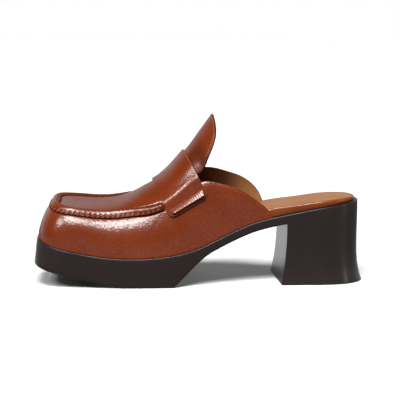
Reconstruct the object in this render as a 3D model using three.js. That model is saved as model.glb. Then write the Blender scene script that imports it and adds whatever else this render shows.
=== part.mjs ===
// Heeled mule with a tall tongue, left shoe, stood empty on its sole.
// Millimetres. +X from toe to heel, -Y is the outer (lateral) side, +Z up.
// The origin is on the floor, below the middle of the shoe's box.
import * as THREE from 'three';

// Sole and heel
const LENGTH = 265.8;
const BALL_HALF_WIDTH = 43.5;
const PLATFORM_HEIGHT = 23.2;
const TOE_SPRING = 16.2;
const SEAT_HEIGHT = 66.3;
const WAIST_THICKNESS = 7.3;
const PLATFORM_REAR_AT = 0.4175;
const PLATFORM_FLAT_AT = 0.308;
const REAR_SLOPE = 1.01;
const SLOPE_BLEND = 3.0;
const TOE_DEPTH = 38;
const TOE_SQUARENESS = 3.3;
const TOE_RAKE = 2.2;
const SEAT_DEPTH = 36;
const SEAT_SQUARENESS = 2.4;
const SOLE_EDGE = 1.2;
const SOLE_BEVEL = 0.7;
const BREAST_AT = 0.7575;
const BREAST_FLARE = 4.4;
const BREAST_SKEW = 1.5;
const HEEL_BACK_FLARE = 4.0;
const HEEL_SIDE_FLARE = 1.5;

// Upper
const INSTEP_HEIGHT = 68.6;
const UPPER_WALL = 2.2;
const SOLE_MARGIN = 1.0;
const TOE_LEAN = 11.0;
const WALL_START_LEAN = 0.07;
const WALL_START = 0.4;
const WALL_TURN = 0.35;
const CROWN = 0.45;
const THROAT_AT = 0.414;
const QUARTER_END_AT = 0.7125;
const SEAM_HEIGHT = 2.1;
const SEAM_REACH = 6.8;
const SEAM_STOP = 2.6;
const SEAM_FADE = 2.0;
const SEAM_NARROWS_AT = 0.24;
const SEAM_NARROWEST = 0.40;

// Strap, tongue and insole
const STRAP_TILT = 27.5;
const STRAP_WIDTH = 33.5;
const STRAP_MIDDLE_AT = 0.4105;
const STRAP_THICKNESS = 1.3;
const STRAP_END_HEIGHT = 29.3;
const STRAP_END_SLOPE = 30.6;
const STRAP_CORNER = 4.0;
const BEAD_HEIGHT = 2.0;
const BEAD_WIDTH = 5.4;
const BEAD_MARGIN = 1.3;
const BEAD_FADE = 4.0;
const TONGUE_LENGTH = 53.5;
const TONGUE_RISE = 52.8;
const TONGUE_RADIUS = 33;
const TONGUE_SPREAD = 62;
const TONGUE_THICKNESS = 2.2;
const TONGUE_EASE = 0.3;
const INSOLE_THICKNESS = 5.0;
const INSOLE_ROUND = 1.1;
const INSOLE_GAP = 0.6;
const CLEARANCE = 0.3;
const STRAP_CLEARANCE = 0.42;

// The sole by stations from the toe. at: share of the length. lateral, medial: shares of the ball's half
// width. top: share of the rise from platform to seat. spring: share of the toe spring at the sole's top.
// lift: the same at its underside. insole: share of the insole's thickness.
const SOLE_STATIONS = [
  { at: 0.000, lateral: 0.930, medial: 0.955, top: 0.000, spring: 0.900, lift: 1.000, insole: 1.00 },
  { at: 0.068, lateral: 0.940, medial: 0.965, top: 0.000, spring: 0.530, lift: 0.700, insole: 1.00 },
  { at: 0.144, lateral: 0.958, medial: 0.980, top: 0.000, spring: 0.250, lift: 0.410, insole: 1.00 },
  { at: 0.213, lateral: 0.989, medial: 1.000, top: 0.000, spring: 0.070, lift: 0.190, insole: 1.00 },
  { at: 0.290, lateral: 1.000, medial: 0.990, top: 0.000, spring: 0.000, lift: 0.020, insole: 1.00 },
  { at: 0.350, lateral: 1.000, medial: 0.952, top: 0.009, spring: 0.000, lift: 0.000, insole: 1.00 },
  { at: 0.421, lateral: 0.972, medial: 0.878, top: 0.060, spring: 0.000, lift: 0.000, insole: 1.00 },
  { at: 0.478, lateral: 0.920, medial: 0.806, top: 0.143, spring: 0.000, lift: 0.000, insole: 1.00 },
  { at: 0.535, lateral: 0.862, medial: 0.748, top: 0.290, spring: 0.000, lift: 0.000, insole: 1.03 },
  { at: 0.592, lateral: 0.812, medial: 0.715, top: 0.455, spring: 0.000, lift: 0.000, insole: 1.12 },
  { at: 0.648, lateral: 0.776, medial: 0.710, top: 0.602, spring: 0.000, lift: 0.000, insole: 1.28 },
  { at: 0.709, lateral: 0.754, medial: 0.722, top: 0.706, spring: 0.000, lift: 0.000, insole: 1.42 },
  { at: 0.781, lateral: 0.747, medial: 0.738, top: 0.797, spring: 0.000, lift: 0.000, insole: 1.17 },
  { at: 0.875, lateral: 0.747, medial: 0.745, top: 0.903, spring: 0.000, lift: 0.000, insole: 0.93 },
  { at: 0.985, lateral: 0.747, medial: 0.745, top: 1.000, spring: 0.000, lift: 0.000, insole: 0.52 },
];

// The upper's sections. brk is the line where the wall turns into the apron and, behind the strap, the
// topline. lateral, medial: its half widths as shares of the ball's half width. brk, crest: heights above
// the sole as shares of the instep. tilt: how far the medial side stands above the middle. lean: degrees
// in from upright at the line. turn: reach of the turn into the apron, as a share of the instep.
const UPPER_SECTIONS = [
  { at: 0.047, lateral: 0.735, medial: 0.735, brk: 0.450, crest: 0.462, tilt: 0.026, lean: 40, turn: 0.06 },
  { at: 0.130, lateral: 0.725, medial: 0.725, brk: 0.485, crest: 0.516, tilt: 0.038, lean: 48, turn: 0.07 },
  { at: 0.213, lateral: 0.710, medial: 0.705, brk: 0.512, crest: 0.560, tilt: 0.048, lean: 52, turn: 0.08 },
  { at: 0.278, lateral: 0.715, medial: 0.705, brk: 0.545, crest: 0.634, tilt: 0.053, lean: 46, turn: 0.10 },
  { at: 0.334, lateral: 0.735, medial: 0.715, brk: 0.580, crest: 0.760, tilt: 0.055, lean: 35, turn: 0.15 },
  { at: 0.387, lateral: 0.752, medial: 0.733, brk: 0.629, crest: 0.878, tilt: 0.052, lean: 24, turn: 0.20 },
  { at: 0.440, lateral: 0.742, medial: 0.725, brk: 0.714, crest: 1.067, tilt: 0.048, lean: 16, turn: 0.26 },
  { at: 0.482, lateral: 0.722, medial: 0.708, brk: 0.784, crest: 1.224, tilt: 0.047, lean: 14, turn: 0.29 },
  { at: 0.516, lateral: 0.710, medial: 0.697, brk: 0.765, crest: 1.345, tilt: 0.042, lean: 12, turn: 0.32 },
  { at: 0.550, lateral: 0.708, medial: 0.692, brk: 0.690, crest: 1.450, tilt: 0.049, lean: 9, turn: 0.34 },
  { at: 0.595, lateral: 0.712, medial: 0.689, brk: 0.561, crest: 1.560, tilt: 0.049, lean: 6, turn: 0.35 },
  { at: 0.637, lateral: 0.715, medial: 0.688, brk: 0.421, crest: 1.620, tilt: 0.059, lean: 4, turn: 0.35 },
  { at: 0.671, lateral: 0.716, medial: 0.689, brk: 0.284, crest: 1.640, tilt: 0.061, lean: 3, turn: 0.35 },
  { at: 0.694, lateral: 0.718, medial: 0.692, brk: 0.168, crest: 1.650, tilt: 0.040, lean: 2, turn: 0.35 },
  { at: 0.713, lateral: 0.720, medial: 0.695, brk: 0.020, crest: 1.650, tilt: 0.000, lean: 2, turn: 0.35 },
];

// The apron's raised seam across. off: share of the seam's reach inwards from the line, over the apron.
// rise: share of the seam's height.
const SEAM_PROFILE = [
  { off: -0.735, rise: 0.00 },
  { off: -0.618, rise: 0.48 },
  { off: -0.441, rise: 0.94 },
  { off: -0.235, rise: 1.00 },
  { off: 0.000, rise: 1.00 },
  { off: 0.235, rise: 1.00 },
  { off: 0.471, rise: 0.80 },
  { off: 0.882, rise: 0.50 },
  { off: 1.000, rise: 0.00 },
];

// The tongue's outline. along: share of its length from the throat. spread: share of its widest arc.
const TONGUE_OUTLINE = [
  { along: 0.00, spread: 0.95 },
  { along: 0.14, spread: 1.00 },
  { along: 0.31, spread: 0.975 },
  { along: 0.42, spread: 0.945 },
  { along: 0.54, spread: 0.905 },
  { along: 0.67, spread: 0.84 },
  { along: 0.77, spread: 0.76 },
  { along: 0.86, spread: 0.63 },
  { along: 0.92, spread: 0.485 },
  { along: 0.96, spread: 0.34 },
  { along: 0.99, spread: 0.17 },
  { along: 1.00, spread: 0.00 },
];

// The heel from its seat down to the floor. down: share of its height. back, side, breast: shares of
// their flares.
const HEEL_LEVELS = [
  { down: 0.00, back: 0.00, side: 0.00, breast: 0.00 },
  { down: 0.28, back: -0.05, side: -0.15, breast: 0.05 },
  { down: 0.50, back: -0.05, side: -0.15, breast: 0.22 },
  { down: 0.68, back: 0.07, side: 0.05, breast: 0.42 },
  { down: 0.82, back: 0.32, side: 0.30, breast: 0.64 },
  { down: 0.92, back: 0.68, side: 0.65, breast: 0.84 },
  { down: 1.00, back: 1.00, side: 1.00, breast: 1.00 },
];

const stationX = (at) => (at - 0.5) * LENGTH;
const TOE_X = stationX(0);
const TOE_CENTRE_X = TOE_X + TOE_DEPTH;
const SEAT_BACK_X = stationX(1) - HEEL_BACK_FLARE;
const SEAT_CENTRE_X = SEAT_BACK_X - SEAT_DEPTH;
const BREAST_X = stationX(BREAST_AT);
const SEARCH_STEPS = 22;
const LOW_WALL_SHARE = 0.3;
const CORNER_FULLNESS = 0.9;
const LATERAL = -1;
const MEDIAL = 1;

// A smooth curve through a table's column, straight past its ends.
function curveThrough(rows, column, scale = 1) {
  const xs = rows.map((row) => stationX(row.at));
  const ys = rows.map((row) => row[column] * scale);
  const n = xs.length;
  const bend = new Array(n).fill(0);
  const weight = new Array(n).fill(0);
  for (let i = 1; i < n - 1; i += 1) {
    const before = xs[i] - xs[i - 1];
    const after = xs[i + 1] - xs[i];
    const pivot = 2 * (before + after) - before * weight[i - 1];
    const kink = 6 * ((ys[i + 1] - ys[i]) / after - (ys[i] - ys[i - 1]) / before);
    weight[i] = after / pivot;
    bend[i] = (kink - before * bend[i - 1]) / pivot;
  }
  for (let i = n - 2; i > 0; i -= 1) bend[i] -= weight[i] * bend[i + 1];
  return (x) => {
    let i = 0;
    while (i < n - 2 && x > xs[i + 1]) i += 1;
    const span = xs[i + 1] - xs[i];
    const t = THREE.MathUtils.clamp((x - xs[i]) / span, 0, 1);
    const s = 1 - t;
    const curved = ((s ** 3 - s) * bend[i] + (t ** 3 - t) * bend[i + 1]) * span * span / 6;
    const straight = (x - xs[i]) / span;
    return ys[i] * (1 - straight) + ys[i + 1] * straight + curved;
  };
}

// A broken line through a small table.
function lineThrough(rows, key, column) {
  return (value) => {
    let i = 0;
    while (i < rows.length - 2 && value > rows[i + 1][key]) i += 1;
    const share = (value - rows[i][key]) / (rows[i + 1][key] - rows[i][key]);
    return THREE.MathUtils.lerp(rows[i][column], rows[i + 1][column], THREE.MathUtils.clamp(share, 0, 1));
  };
}

const soleWidth = {
  [LATERAL]: curveThrough(SOLE_STATIONS, 'lateral', BALL_HALF_WIDTH),
  [MEDIAL]: curveThrough(SOLE_STATIONS, 'medial', BALL_HALF_WIDTH),
};
const insoleRise = curveThrough(SOLE_STATIONS, 'insole', INSOLE_THICKNESS);
const soleRise = curveThrough(SOLE_STATIONS, 'top', SEAT_HEIGHT - PLATFORM_HEIGHT);
const topSpring = curveThrough(SOLE_STATIONS, 'spring', TOE_SPRING);
const underSpring = curveThrough(SOLE_STATIONS, 'lift', TOE_SPRING);
const breakWidth = {
  [LATERAL]: curveThrough(UPPER_SECTIONS, 'lateral', BALL_HALF_WIDTH),
  [MEDIAL]: curveThrough(UPPER_SECTIONS, 'medial', BALL_HALF_WIDTH),
};
const breakRise = curveThrough(UPPER_SECTIONS, 'brk', INSTEP_HEIGHT);
const crestRise = curveThrough(UPPER_SECTIONS, 'crest', INSTEP_HEIGHT);
const tiltRise = curveThrough(UPPER_SECTIONS, 'tilt', INSTEP_HEIGHT);
const breakLean = curveThrough(UPPER_SECTIONS, 'lean', THREE.MathUtils.DEG2RAD);
const turnReach = curveThrough(UPPER_SECTIONS, 'turn', INSTEP_HEIGHT);
const seamRise = lineThrough(SEAM_PROFILE, 'off', 'rise');
const tongueSpread = lineThrough(TONGUE_OUTLINE, 'along', 'spread');

function soleTop(x) {
  return PLATFORM_HEIGHT + topSpring(x) + soleRise(x);
}

// The underside: toe spring, the flat under the ball, the platform's rear slope, then the waist and seat.
function soleUnder(x) {
  const rearX = stationX(PLATFORM_REAR_AT);
  if (x <= stationX(PLATFORM_FLAT_AT)) return Math.max(0, underSpring(x));
  if (x <= rearX) return 0;
  const slope = (x - rearX) * REAR_SLOPE;
  const waist = soleTop(x) - WAIST_THICKNESS;
  const apart = slope - waist;
  const blended = 0.5 * (slope + waist - Math.sqrt(apart * apart + SLOPE_BLEND * SLOPE_BLEND));
  return Math.max(0, blended);
}

const crestZ = (x) => soleTop(x) + crestRise(x);
const breakZ = (x, lie) => soleTop(x) + breakRise(x) + tiltRise(x) * lie;

function range(from, to, steps) {
  return Array.from({ length: steps + 1 }, (_, i) => THREE.MathUtils.lerp(from, to, i / steps));
}

// Halves the way between two values until it is where the test turns from true to false.
function turningPoint(low, high, isBefore) {
  let from = low;
  let to = high;
  for (let i = 0; i < SEARCH_STEPS; i += 1) {
    const middle = 0.5 * (from + to);
    if (isBefore(middle)) {
      from = middle;
    } else {
      to = middle;
    }
  }
  return 0.5 * (from + to);
}

// A corner of a squared oval: how far out and how far across, for an angle from the axis.
function squared(angle, squareness) {
  const power = 2 / squareness;
  return { out: Math.cos(angle) ** power, across: Math.sin(angle) ** power };
}

// Closed solids from grids of points. Points that coincide are one vertex, and flat folds are dropped.
class Surface {
  constructor() {
    this.points = [];
    this.triangles = [];
    this.lookup = new Map();
  }

  vertex(point) {
    const key = [point.x, point.y, point.z].map((value) => Math.round(value * 2000)).join(',');
    if (!this.lookup.has(key)) {
      this.lookup.set(key, this.points.length);
      this.points.push(point.clone());
    }
    return this.lookup.get(key);
  }

  triangle(a, b, c) {
    if (a !== b && b !== c && c !== a) this.triangles.push([a, b, c]);
  }

  grid(rows, flip = false) {
    const ids = rows.map((row) => row.map((point) => this.vertex(point)));
    for (let i = 0; i < ids.length - 1; i += 1) {
      for (let j = 0; j < ids[i].length - 1; j += 1) {
        const quad = [ids[i][j], ids[i][j + 1], ids[i + 1][j + 1], ids[i + 1][j]];
        if (flip) quad.reverse();
        this.triangle(quad[0], quad[1], quad[2]);
        this.triangle(quad[0], quad[2], quad[3]);
      }
    }
    return ids;
  }

  normals() {
    const normals = this.points.map(() => new THREE.Vector3());
    for (const [a, b, c] of this.triangles) {
      const edge = this.points[b].clone().sub(this.points[a]);
      const other = this.points[c].clone().sub(this.points[a]);
      const face = edge.cross(other);
      for (const id of [a, b, c]) normals[id].add(face);
    }
    return normals.map((normal) => normal.normalize());
  }

  geometry() {
    const geometry = new THREE.BufferGeometry();
    const flat = this.points.flatMap((point) => [point.x, point.y, point.z]);
    geometry.setAttribute('position', new THREE.Float32BufferAttribute(flat, 3));
    geometry.setIndex(this.triangles.flat());
    geometry.computeVertexNormals();
    return geometry;
  }
}

// A wall of leather: the sheet's grids are moved out and in along its normals and joined at their edges.
// Each grid point is { point, out, back, level }, with its distances out of and back from the sheet.
function leather(grids) {
  const sheet = new Surface();
  const moves = [];
  for (const rows of grids) {
    const ids = sheet.grid(rows.map((row) => row.map((cell) => cell.point)));
    ids.forEach((row, i) => row.forEach((id, j) => { moves[id] = rows[i][j]; }));
  }
  const normals = sheet.normals();
  const wall = new Surface();
  const faces = ['out', 'back'].map((face) => sheet.points.map((point, id) => {
    const normal = normals[id].clone();
    if (moves[id].level) normal.setZ(0).normalize();
    const distance = face === 'out' ? moves[id].out : -moves[id].back;
    wall.points.push(point.clone().addScaledVector(normal, distance));
    return wall.points.length - 1;
  }));
  const edges = new Map();
  for (const [a, b, c] of sheet.triangles) {
    wall.triangle(faces[0][a], faces[0][b], faces[0][c]);
    wall.triangle(faces[1][a], faces[1][c], faces[1][b]);
    for (const [from, to] of [[a, b], [b, c], [c, a]]) {
      if (!edges.delete(`${to},${from}`)) edges.set(`${from},${to}`, [from, to]);
    }
  }
  for (const [from, to] of edges.values()) {
    wall.triangle(faces[0][to], faces[0][from], faces[1][from]);
    wall.triangle(faces[0][to], faces[1][from], faces[1][to]);
  }
  return wall.geometry();
}

// One section line of the upper, from the feather edge up the wall to the line, and on over the apron.
function makeRib(feather, line, centre, slopeAtCentre) {
  const inwards = centre.clone().sub(line).setZ(0).normalize();
  const height = line.z - feather.z;
  const lean = breakLean(line.x);
  const turn = inwards.clone().multiplyScalar(Math.sin(lean)).setZ(Math.cos(lean));
  const start = inwards.clone().multiplyScalar(WALL_START_LEAN).setZ(1);
  const across = line.clone().setZ(0).distanceTo(centre.clone().setZ(0));
  const flat = inwards.clone().setZ(slopeAtCentre(inwards));
  const wall = new THREE.CubicBezierCurve3(
    feather,
    feather.clone().addScaledVector(start, height * WALL_START),
    line.clone().addScaledVector(turn, -height * WALL_TURN),
    line,
  );
  const apron = new THREE.CubicBezierCurve3(
    line,
    line.clone().addScaledVector(turn, turnReach(line.x)),
    centre.clone().addScaledVector(flat, -across * CROWN),
    centre,
  );
  const wallLength = wall.getLength();
  const apronLength = apron.getLength();
  const at = (off) => (off < 0
    ? wall.getPointAt(THREE.MathUtils.clamp(1 + off / wallLength, 0, 1))
    : apron.getPointAt(THREE.MathUtils.clamp(off / apronLength, 0, 1)));
  return { at, wallLength, apronLength };
}

function sideRib(side, x) {
  const feather = new THREE.Vector3(x, side * (soleWidth[side](x) - SOLE_MARGIN), soleTop(x) + CLEARANCE);
  const line = new THREE.Vector3(x, side * breakWidth[side](x), breakZ(x, side));
  const centre = new THREE.Vector3(x, 0, crestZ(x));
  const across = 0.5 * (breakWidth[LATERAL](x) + breakWidth[MEDIAL](x));
  const slope = tiltRise(x) / across;
  return makeRib(feather, line, centre, (inwards) => slope * inwards.y);
}

function toeRib(side, angle) {
  const corner = squared(angle, TOE_SQUARENESS);
  const featherDepth = TOE_DEPTH - TOE_RAKE - SOLE_MARGIN;
  const featherX = TOE_CENTRE_X - featherDepth * corner.out;
  const lineX = TOE_CENTRE_X - (featherDepth - TOE_LEAN) * corner.out;
  const featherY = (soleWidth[side](TOE_CENTRE_X) - SOLE_MARGIN) * corner.across;
  const lineY = breakWidth[side](TOE_CENTRE_X) * corner.across;
  const feather = new THREE.Vector3(featherX, side * featherY, soleTop(featherX) + CLEARANCE);
  const line = new THREE.Vector3(lineX, side * lineY, breakZ(lineX, side * corner.across));
  const centre = new THREE.Vector3(TOE_CENTRE_X, 0, crestZ(TOE_CENTRE_X));
  const across = 0.5 * (breakWidth[LATERAL](TOE_CENTRE_X) + breakWidth[MEDIAL](TOE_CENTRE_X));
  const slopeY = tiltRise(TOE_CENTRE_X) / across;
  const slopeX = crestZ(TOE_CENTRE_X + 0.5) - crestZ(TOE_CENTRE_X - 0.5);
  return makeRib(feather, line, centre, (inwards) => slopeX * inwards.x + slopeY * inwards.y);
}

// The strap runs between two parallel planes, tilted back. Its place along them is its reach.
const strapNormal = new THREE.Vector3(
  Math.cos(STRAP_TILT * THREE.MathUtils.DEG2RAD), 0, Math.sin(STRAP_TILT * THREE.MathUtils.DEG2RAD));
const strapMiddleX = stationX(STRAP_MIDDLE_AT);
const strapMiddle = strapNormal.dot(new THREE.Vector3(strapMiddleX, 0, crestZ(strapMiddleX)));
const strapFront = strapMiddle - STRAP_WIDTH / 2;
const strapRear = strapMiddle + STRAP_WIDTH / 2;

// How far down a section line the strap's end lies, below the upper's line. The end rises straight to
// the back.
function strapDrop(side, rib, x) {
  const rise = (x - strapMiddleX) * Math.tan(STRAP_END_SLOPE * THREE.MathUtils.DEG2RAD);
  const raised = side === MEDIAL ? 2 * tiltRise(x) : 0;
  const height = soleTop(strapMiddleX) + STRAP_END_HEIGHT + rise + raised;
  return turningPoint(0, rib.wallLength, (drop) => rib.at(-drop).z > height);
}

// A place on the body under the strap: its reach, and its share of the way from the crest to the end.
function bodyPoint(side, reach, share) {
  const pointAt = (x) => {
    const rib = sideRib(side, x);
    return rib.at(rib.apronLength - share * (rib.apronLength + strapDrop(side, rib, x)));
  };
  const span = [strapMiddleX - 2 * STRAP_WIDTH, strapMiddleX + 2 * STRAP_WIDTH];
  return pointAt(turningPoint(...span, (x) => strapNormal.dot(pointAt(x)) < reach));
}

function makeUpper() {
  const endX = stationX(QUARTER_END_AT);
  const throatX = stationX(THROAT_AT);
  const quarterXs = range(endX, throatX, 17);
  const vampXs = range(throatX, TOE_CENTRE_X, 19);
  const angles = range(Math.PI / 2, 0, 8);
  const seamOffs = SEAM_PROFILE.map((row) => row.off * SEAM_REACH);
  const below = range(0, 1, 7).slice(0, -1);
  const above = range(0, 1, 6).slice(1);
  const lateral = [
    ...quarterXs.map((x) => ({ rib: sideRib(LATERAL, x), open: true })),
    ...vampXs.map((x) => ({ rib: sideRib(LATERAL, x), open: false })),
    ...angles.slice(1).map((angle) => ({ rib: toeRib(LATERAL, angle), open: false })),
  ];
  const medial = [
    ...angles.slice(1, -1).reverse().map((angle) => ({ rib: toeRib(MEDIAL, angle), open: false })),
    ...[...vampXs].reverse().map((x) => ({ rib: sideRib(MEDIAL, x), open: false })),
    ...[...quarterXs].reverse().map((x) => ({ rib: sideRib(MEDIAL, x), open: true })),
  ];
  const ribs = [...lateral, ...medial];
  const cell = (rib, off, seamOff) => {
    const point = rib.at(off);
    const clear = strapFront - SEAM_STOP - strapNormal.dot(point);
    const fade = THREE.MathUtils.clamp(clear / SEAM_FADE, 0, 1);
    const out = SEAM_HEIGHT * seamRise(seamOff / SEAM_REACH) * fade;
    return { point, out, back: UPPER_WALL, level: false };
  };
  const first = seamOffs[0];
  const wallRows = ribs.map(({ rib }) => {
    const low = Math.max(first, -LOW_WALL_SHARE * rib.wallLength);
    const row = below.map((share) => cell(rib, THREE.MathUtils.lerp(-rib.wallLength, low, share), first));
    row[0].level = true;
    seamOffs.filter((off) => off <= 0).forEach((off) => row.push(cell(rib, off * low / first, off)));
    return row;
  });
  const last = seamOffs[seamOffs.length - 1];
  const apronRows = ribs.filter((entry) => !entry.open).map(({ rib }) => {
    const along = THREE.MathUtils.smoothstep(rib.at(0).x, stationX(SEAM_NARROWS_AT), throatX);
    const narrow = THREE.MathUtils.lerp(1, SEAM_NARROWEST, along);
    const row = seamOffs.filter((off) => off >= 0).map((off) => cell(rib, off * narrow, off));
    above.forEach((share) => row.push(
      cell(rib, THREE.MathUtils.lerp(last * narrow, rib.apronLength, share), last)));
    return row;
  });
  return leather([wallRows, apronRows]);
}

function makeStrap() {
  const rib = sideRib(LATERAL, strapMiddleX);
  const half = rib.apronLength + strapDrop(LATERAL, rib, strapMiddleX);
  const beadHalf = BEAD_WIDTH / 2;
  const beadMiddle = BEAD_MARGIN + beadHalf;
  const margins = range(0, BEAD_MARGIN, 3).slice(0, -1);
  const beads = [-1, -0.85, -0.45, 0, 0.45, 0.85, 1].map((share) => beadMiddle + share * beadHalf);
  const plain = range(beadMiddle + beadHalf, half, 17).slice(1);
  const fromEnds = [...margins, ...beads, ...plain];
  const columns = [
    ...fromEnds.map((fromEnd) => [LATERAL, fromEnd]),
    ...fromEnds.slice(0, -1).reverse().map((fromEnd) => [MEDIAL, fromEnd]),
  ];
  const rows = range(0, 1, 8).map((across) => columns.map(([side, fromEnd]) => {
    const corner = Math.max(0, STRAP_CORNER - fromEnd) / STRAP_CORNER;
    const draw = STRAP_CORNER * (1 - Math.sqrt(1 - CORNER_FULLNESS * corner * corner));
    const reach = THREE.MathUtils.lerp(strapRear - draw, strapFront + draw, across);
    const point = bodyPoint(side, reach, 1 - fromEnd / half);
    const fromBead = Math.min(1, Math.abs(fromEnd - beadMiddle) / beadHalf);
    const fromSide = STRAP_WIDTH * Math.min(across, 1 - across);
    const bead = BEAD_HEIGHT * Math.sqrt(1 - fromBead * fromBead) * Math.min(1, fromSide / BEAD_FADE);
    return { point, out: STRAP_CLEARANCE + STRAP_THICKNESS + bead, back: -STRAP_CLEARANCE, level: false };
  }));
  return leather([rows]);
}

// The height of the instep's arch over a place in plan.
function archZ(x, y) {
  const rib = sideRib(y < 0 ? LATERAL : MEDIAL, x);
  return rib.at(turningPoint(0, rib.apronLength, (off) => Math.abs(rib.at(off).y) > Math.abs(y))).z;
}

// The tongue lies on the instep under the strap and stands free behind it.
function tonguePoint(along, across) {
  const rise = TONGUE_RISE * THREE.MathUtils.DEG2RAD;
  const rootX = stationX(THROAT_AT) + CLEARANCE;
  const reach = along * TONGUE_LENGTH;
  const turn = rise * THREE.MathUtils.smoothstep(along, 0, TONGUE_EASE);
  const crestX = rootX + reach * Math.cos(rise);
  const crest = THREE.MathUtils.lerp(crestZ(crestX), crestZ(rootX) + reach * Math.sin(rise), along);
  const angle = TONGUE_SPREAD * THREE.MathUtils.DEG2RAD * tongueSpread(along) * across;
  const drop = TONGUE_RADIUS * (1 - Math.cos(angle));
  const y = TONGUE_RADIUS * Math.sin(angle);
  const x = crestX + drop * Math.sin(turn);
  const free = crest - drop * Math.cos(turn);
  const past = strapNormal.dot(new THREE.Vector3(x, 0, free)) - strapRear;
  const loose = THREE.MathUtils.smoothstep(past, 0, TONGUE_LENGTH * TONGUE_EASE);
  return new THREE.Vector3(x, y, THREE.MathUtils.lerp(archZ(x, y), free, loose));
}

function makeTongue() {
  const alongs = [...range(0, 0.84, 14), 0.9, 0.94, 0.97, 0.99, 1];
  const acrosses = range(1, -1, 16);
  const rows = alongs.map((along) => acrosses.map((across) => (
    { point: tonguePoint(along, across), out: 0, back: TONGUE_THICKNESS, level: false })));
  return leather([rows]);
}

// Stations of a flat outline from the back to the toe, drawn in by a margin on each side.
function outline(marginAt, toeInset, backInset) {
  const flatXs = [PLATFORM_REAR_AT, PLATFORM_FLAT_AT].map(stationX);
  const stations = [];
  for (const angle of range(0, Math.PI / 2, 10)) {
    const corner = squared(angle, SEAT_SQUARENESS);
    const x = SEAT_CENTRE_X + (SEAT_DEPTH - backInset) * corner.out;
    stations.push({ x, across: corner.across, widthX: SEAT_CENTRE_X });
  }
  const sideXs = [
    ...range(SEAT_CENTRE_X, flatXs[0], 15).slice(1),
    ...range(flatXs[0], flatXs[1], 3).slice(1),
    ...range(flatXs[1], TOE_CENTRE_X, 5).slice(1),
  ];
  for (const x of sideXs) stations.push({ x, across: 1, widthX: x });
  for (const angle of range(Math.PI / 2, 0, 9).slice(1)) {
    const corner = squared(angle, TOE_SQUARENESS);
    const x = TOE_CENTRE_X - (TOE_DEPTH - toeInset) * corner.out;
    stations.push({ x, across: corner.across, widthX: TOE_CENTRE_X });
  }
  return stations.map((station) => ({ ...station, margin: marginAt(station.x), skew: 0 }));
}

// A solid between level outlines, each with a height for every station, listed from the bottom up.
function stack(levels) {
  const solid = new Surface();
  const rings = levels.map(({ stations, heightAt }) => {
    const place = ({ x, across, widthX, margin, skew }, side) => {
      const placedX = side === MEDIAL ? x - skew : x;
      const y = side * (soleWidth[side](widthX) - margin) * across;
      return new THREE.Vector3(placedX, y, heightAt(placedX));
    };
    const medial = stations.map((station) => place(station, MEDIAL));
    const lateral = stations.map((station) => place(station, LATERAL)).reverse();
    return { medial, lateral, ring: [...medial, ...lateral, medial[0]] };
  });
  solid.grid(rings.map(({ ring }) => ring));
  const lids = [rings[rings.length - 1], rings[0]];
  lids.forEach(({ medial, lateral }, index) => {
    const rows = medial.map((point, i) => [lateral[lateral.length - 1 - i], point]);
    solid.grid(rows, index === 1);
  });
  return solid.geometry();
}

function makeOutsole() {
  const level = (margin, toeInset, heightAt, seatMargin = margin) => ({
    stations: outline((x) => (x < BREAST_X ? margin : seatMargin), toeInset, seatMargin), heightAt });
  const topEdge = (x) => soleTop(x) - SOLE_BEVEL;
  const underEdge = (x) => soleUnder(x) + SOLE_EDGE;
  return stack([
    level(SOLE_EDGE, SOLE_EDGE, soleUnder, 0),
    level(0, 0, underEdge),
    level(0, TOE_RAKE, topEdge),
    level(SOLE_BEVEL, TOE_RAKE + SOLE_BEVEL, soleTop),
  ]);
}

function makeInsole() {
  const margin = SOLE_MARGIN + UPPER_WALL + INSOLE_GAP;
  const level = (extra, up) => ({
    stations: outline(() => margin + extra, margin + extra + TOE_RAKE, margin - SOLE_MARGIN + extra),
    heightAt: (x) => soleTop(x) + CLEARANCE + up * insoleRise(x),
  });
  return stack([level(0, 0), level(0.4 * INSOLE_ROUND, 0.7), level(INSOLE_ROUND, 1)]);
}

function makeHeel() {
  const rings = [...HEEL_LEVELS].reverse().map(({ down, back, side, breast }) => {
    const frontX = BREAST_X - breast * BREAST_FLARE;
    const curved = range(0, Math.PI / 2, 10).map((angle) => {
      const corner = squared(angle, SEAT_SQUARENESS);
      const depth = SEAT_DEPTH + back * HEEL_BACK_FLARE;
      return { x: SEAT_CENTRE_X + depth * corner.out, across: corner.across, widthX: SEAT_CENTRE_X };
    });
    const straight = range(SEAT_CENTRE_X, frontX, 3).slice(1).map((x) => ({ x, across: 1, widthX: x }));
    const stations = [...curved, ...straight].map((station) => {
      const skew = BREAST_SKEW * Math.max(0, SEAT_CENTRE_X - station.x) / (SEAT_CENTRE_X - BREAST_X);
      return { ...station, margin: -side * HEEL_SIDE_FLARE, skew };
    });
    const seatX = (x) => Math.min(x, SEAT_BACK_X);
    const heightAt = (x) => (soleUnder(seatX(x)) - CLEARANCE) * (1 - down);
    return { stations, heightAt };
  });
  return stack(rings);
}

function piece(name, geometry, color, roughness) {
  const material = new THREE.MeshStandardMaterial({ color, roughness, metalness: 0 });
  const mesh = new THREE.Mesh(geometry, material);
  mesh.name = name;
  return mesh;
}

const CALF = 0x7c361b;
const FOOTBED = 0xc2916a;
const SOLE_BROWN = 0x2f2926;

const mule = new THREE.Group();
mule.add(
  piece('outsole', makeOutsole(), SOLE_BROWN, 0.45),
  piece('heel', makeHeel(), SOLE_BROWN, 0.45),
  piece('insole', makeInsole(), FOOTBED, 0.7),
  piece('upper', makeUpper(), CALF, 0.35),
  piece('tongue', makeTongue(), CALF, 0.35),
  piece('strap', makeStrap(), CALF, 0.35),
);

export default mule;
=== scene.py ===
import math

import bpy
import numpy as np
from mathutils import Matrix, Vector
from mathutils.bvhtree import BVHTree


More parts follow.
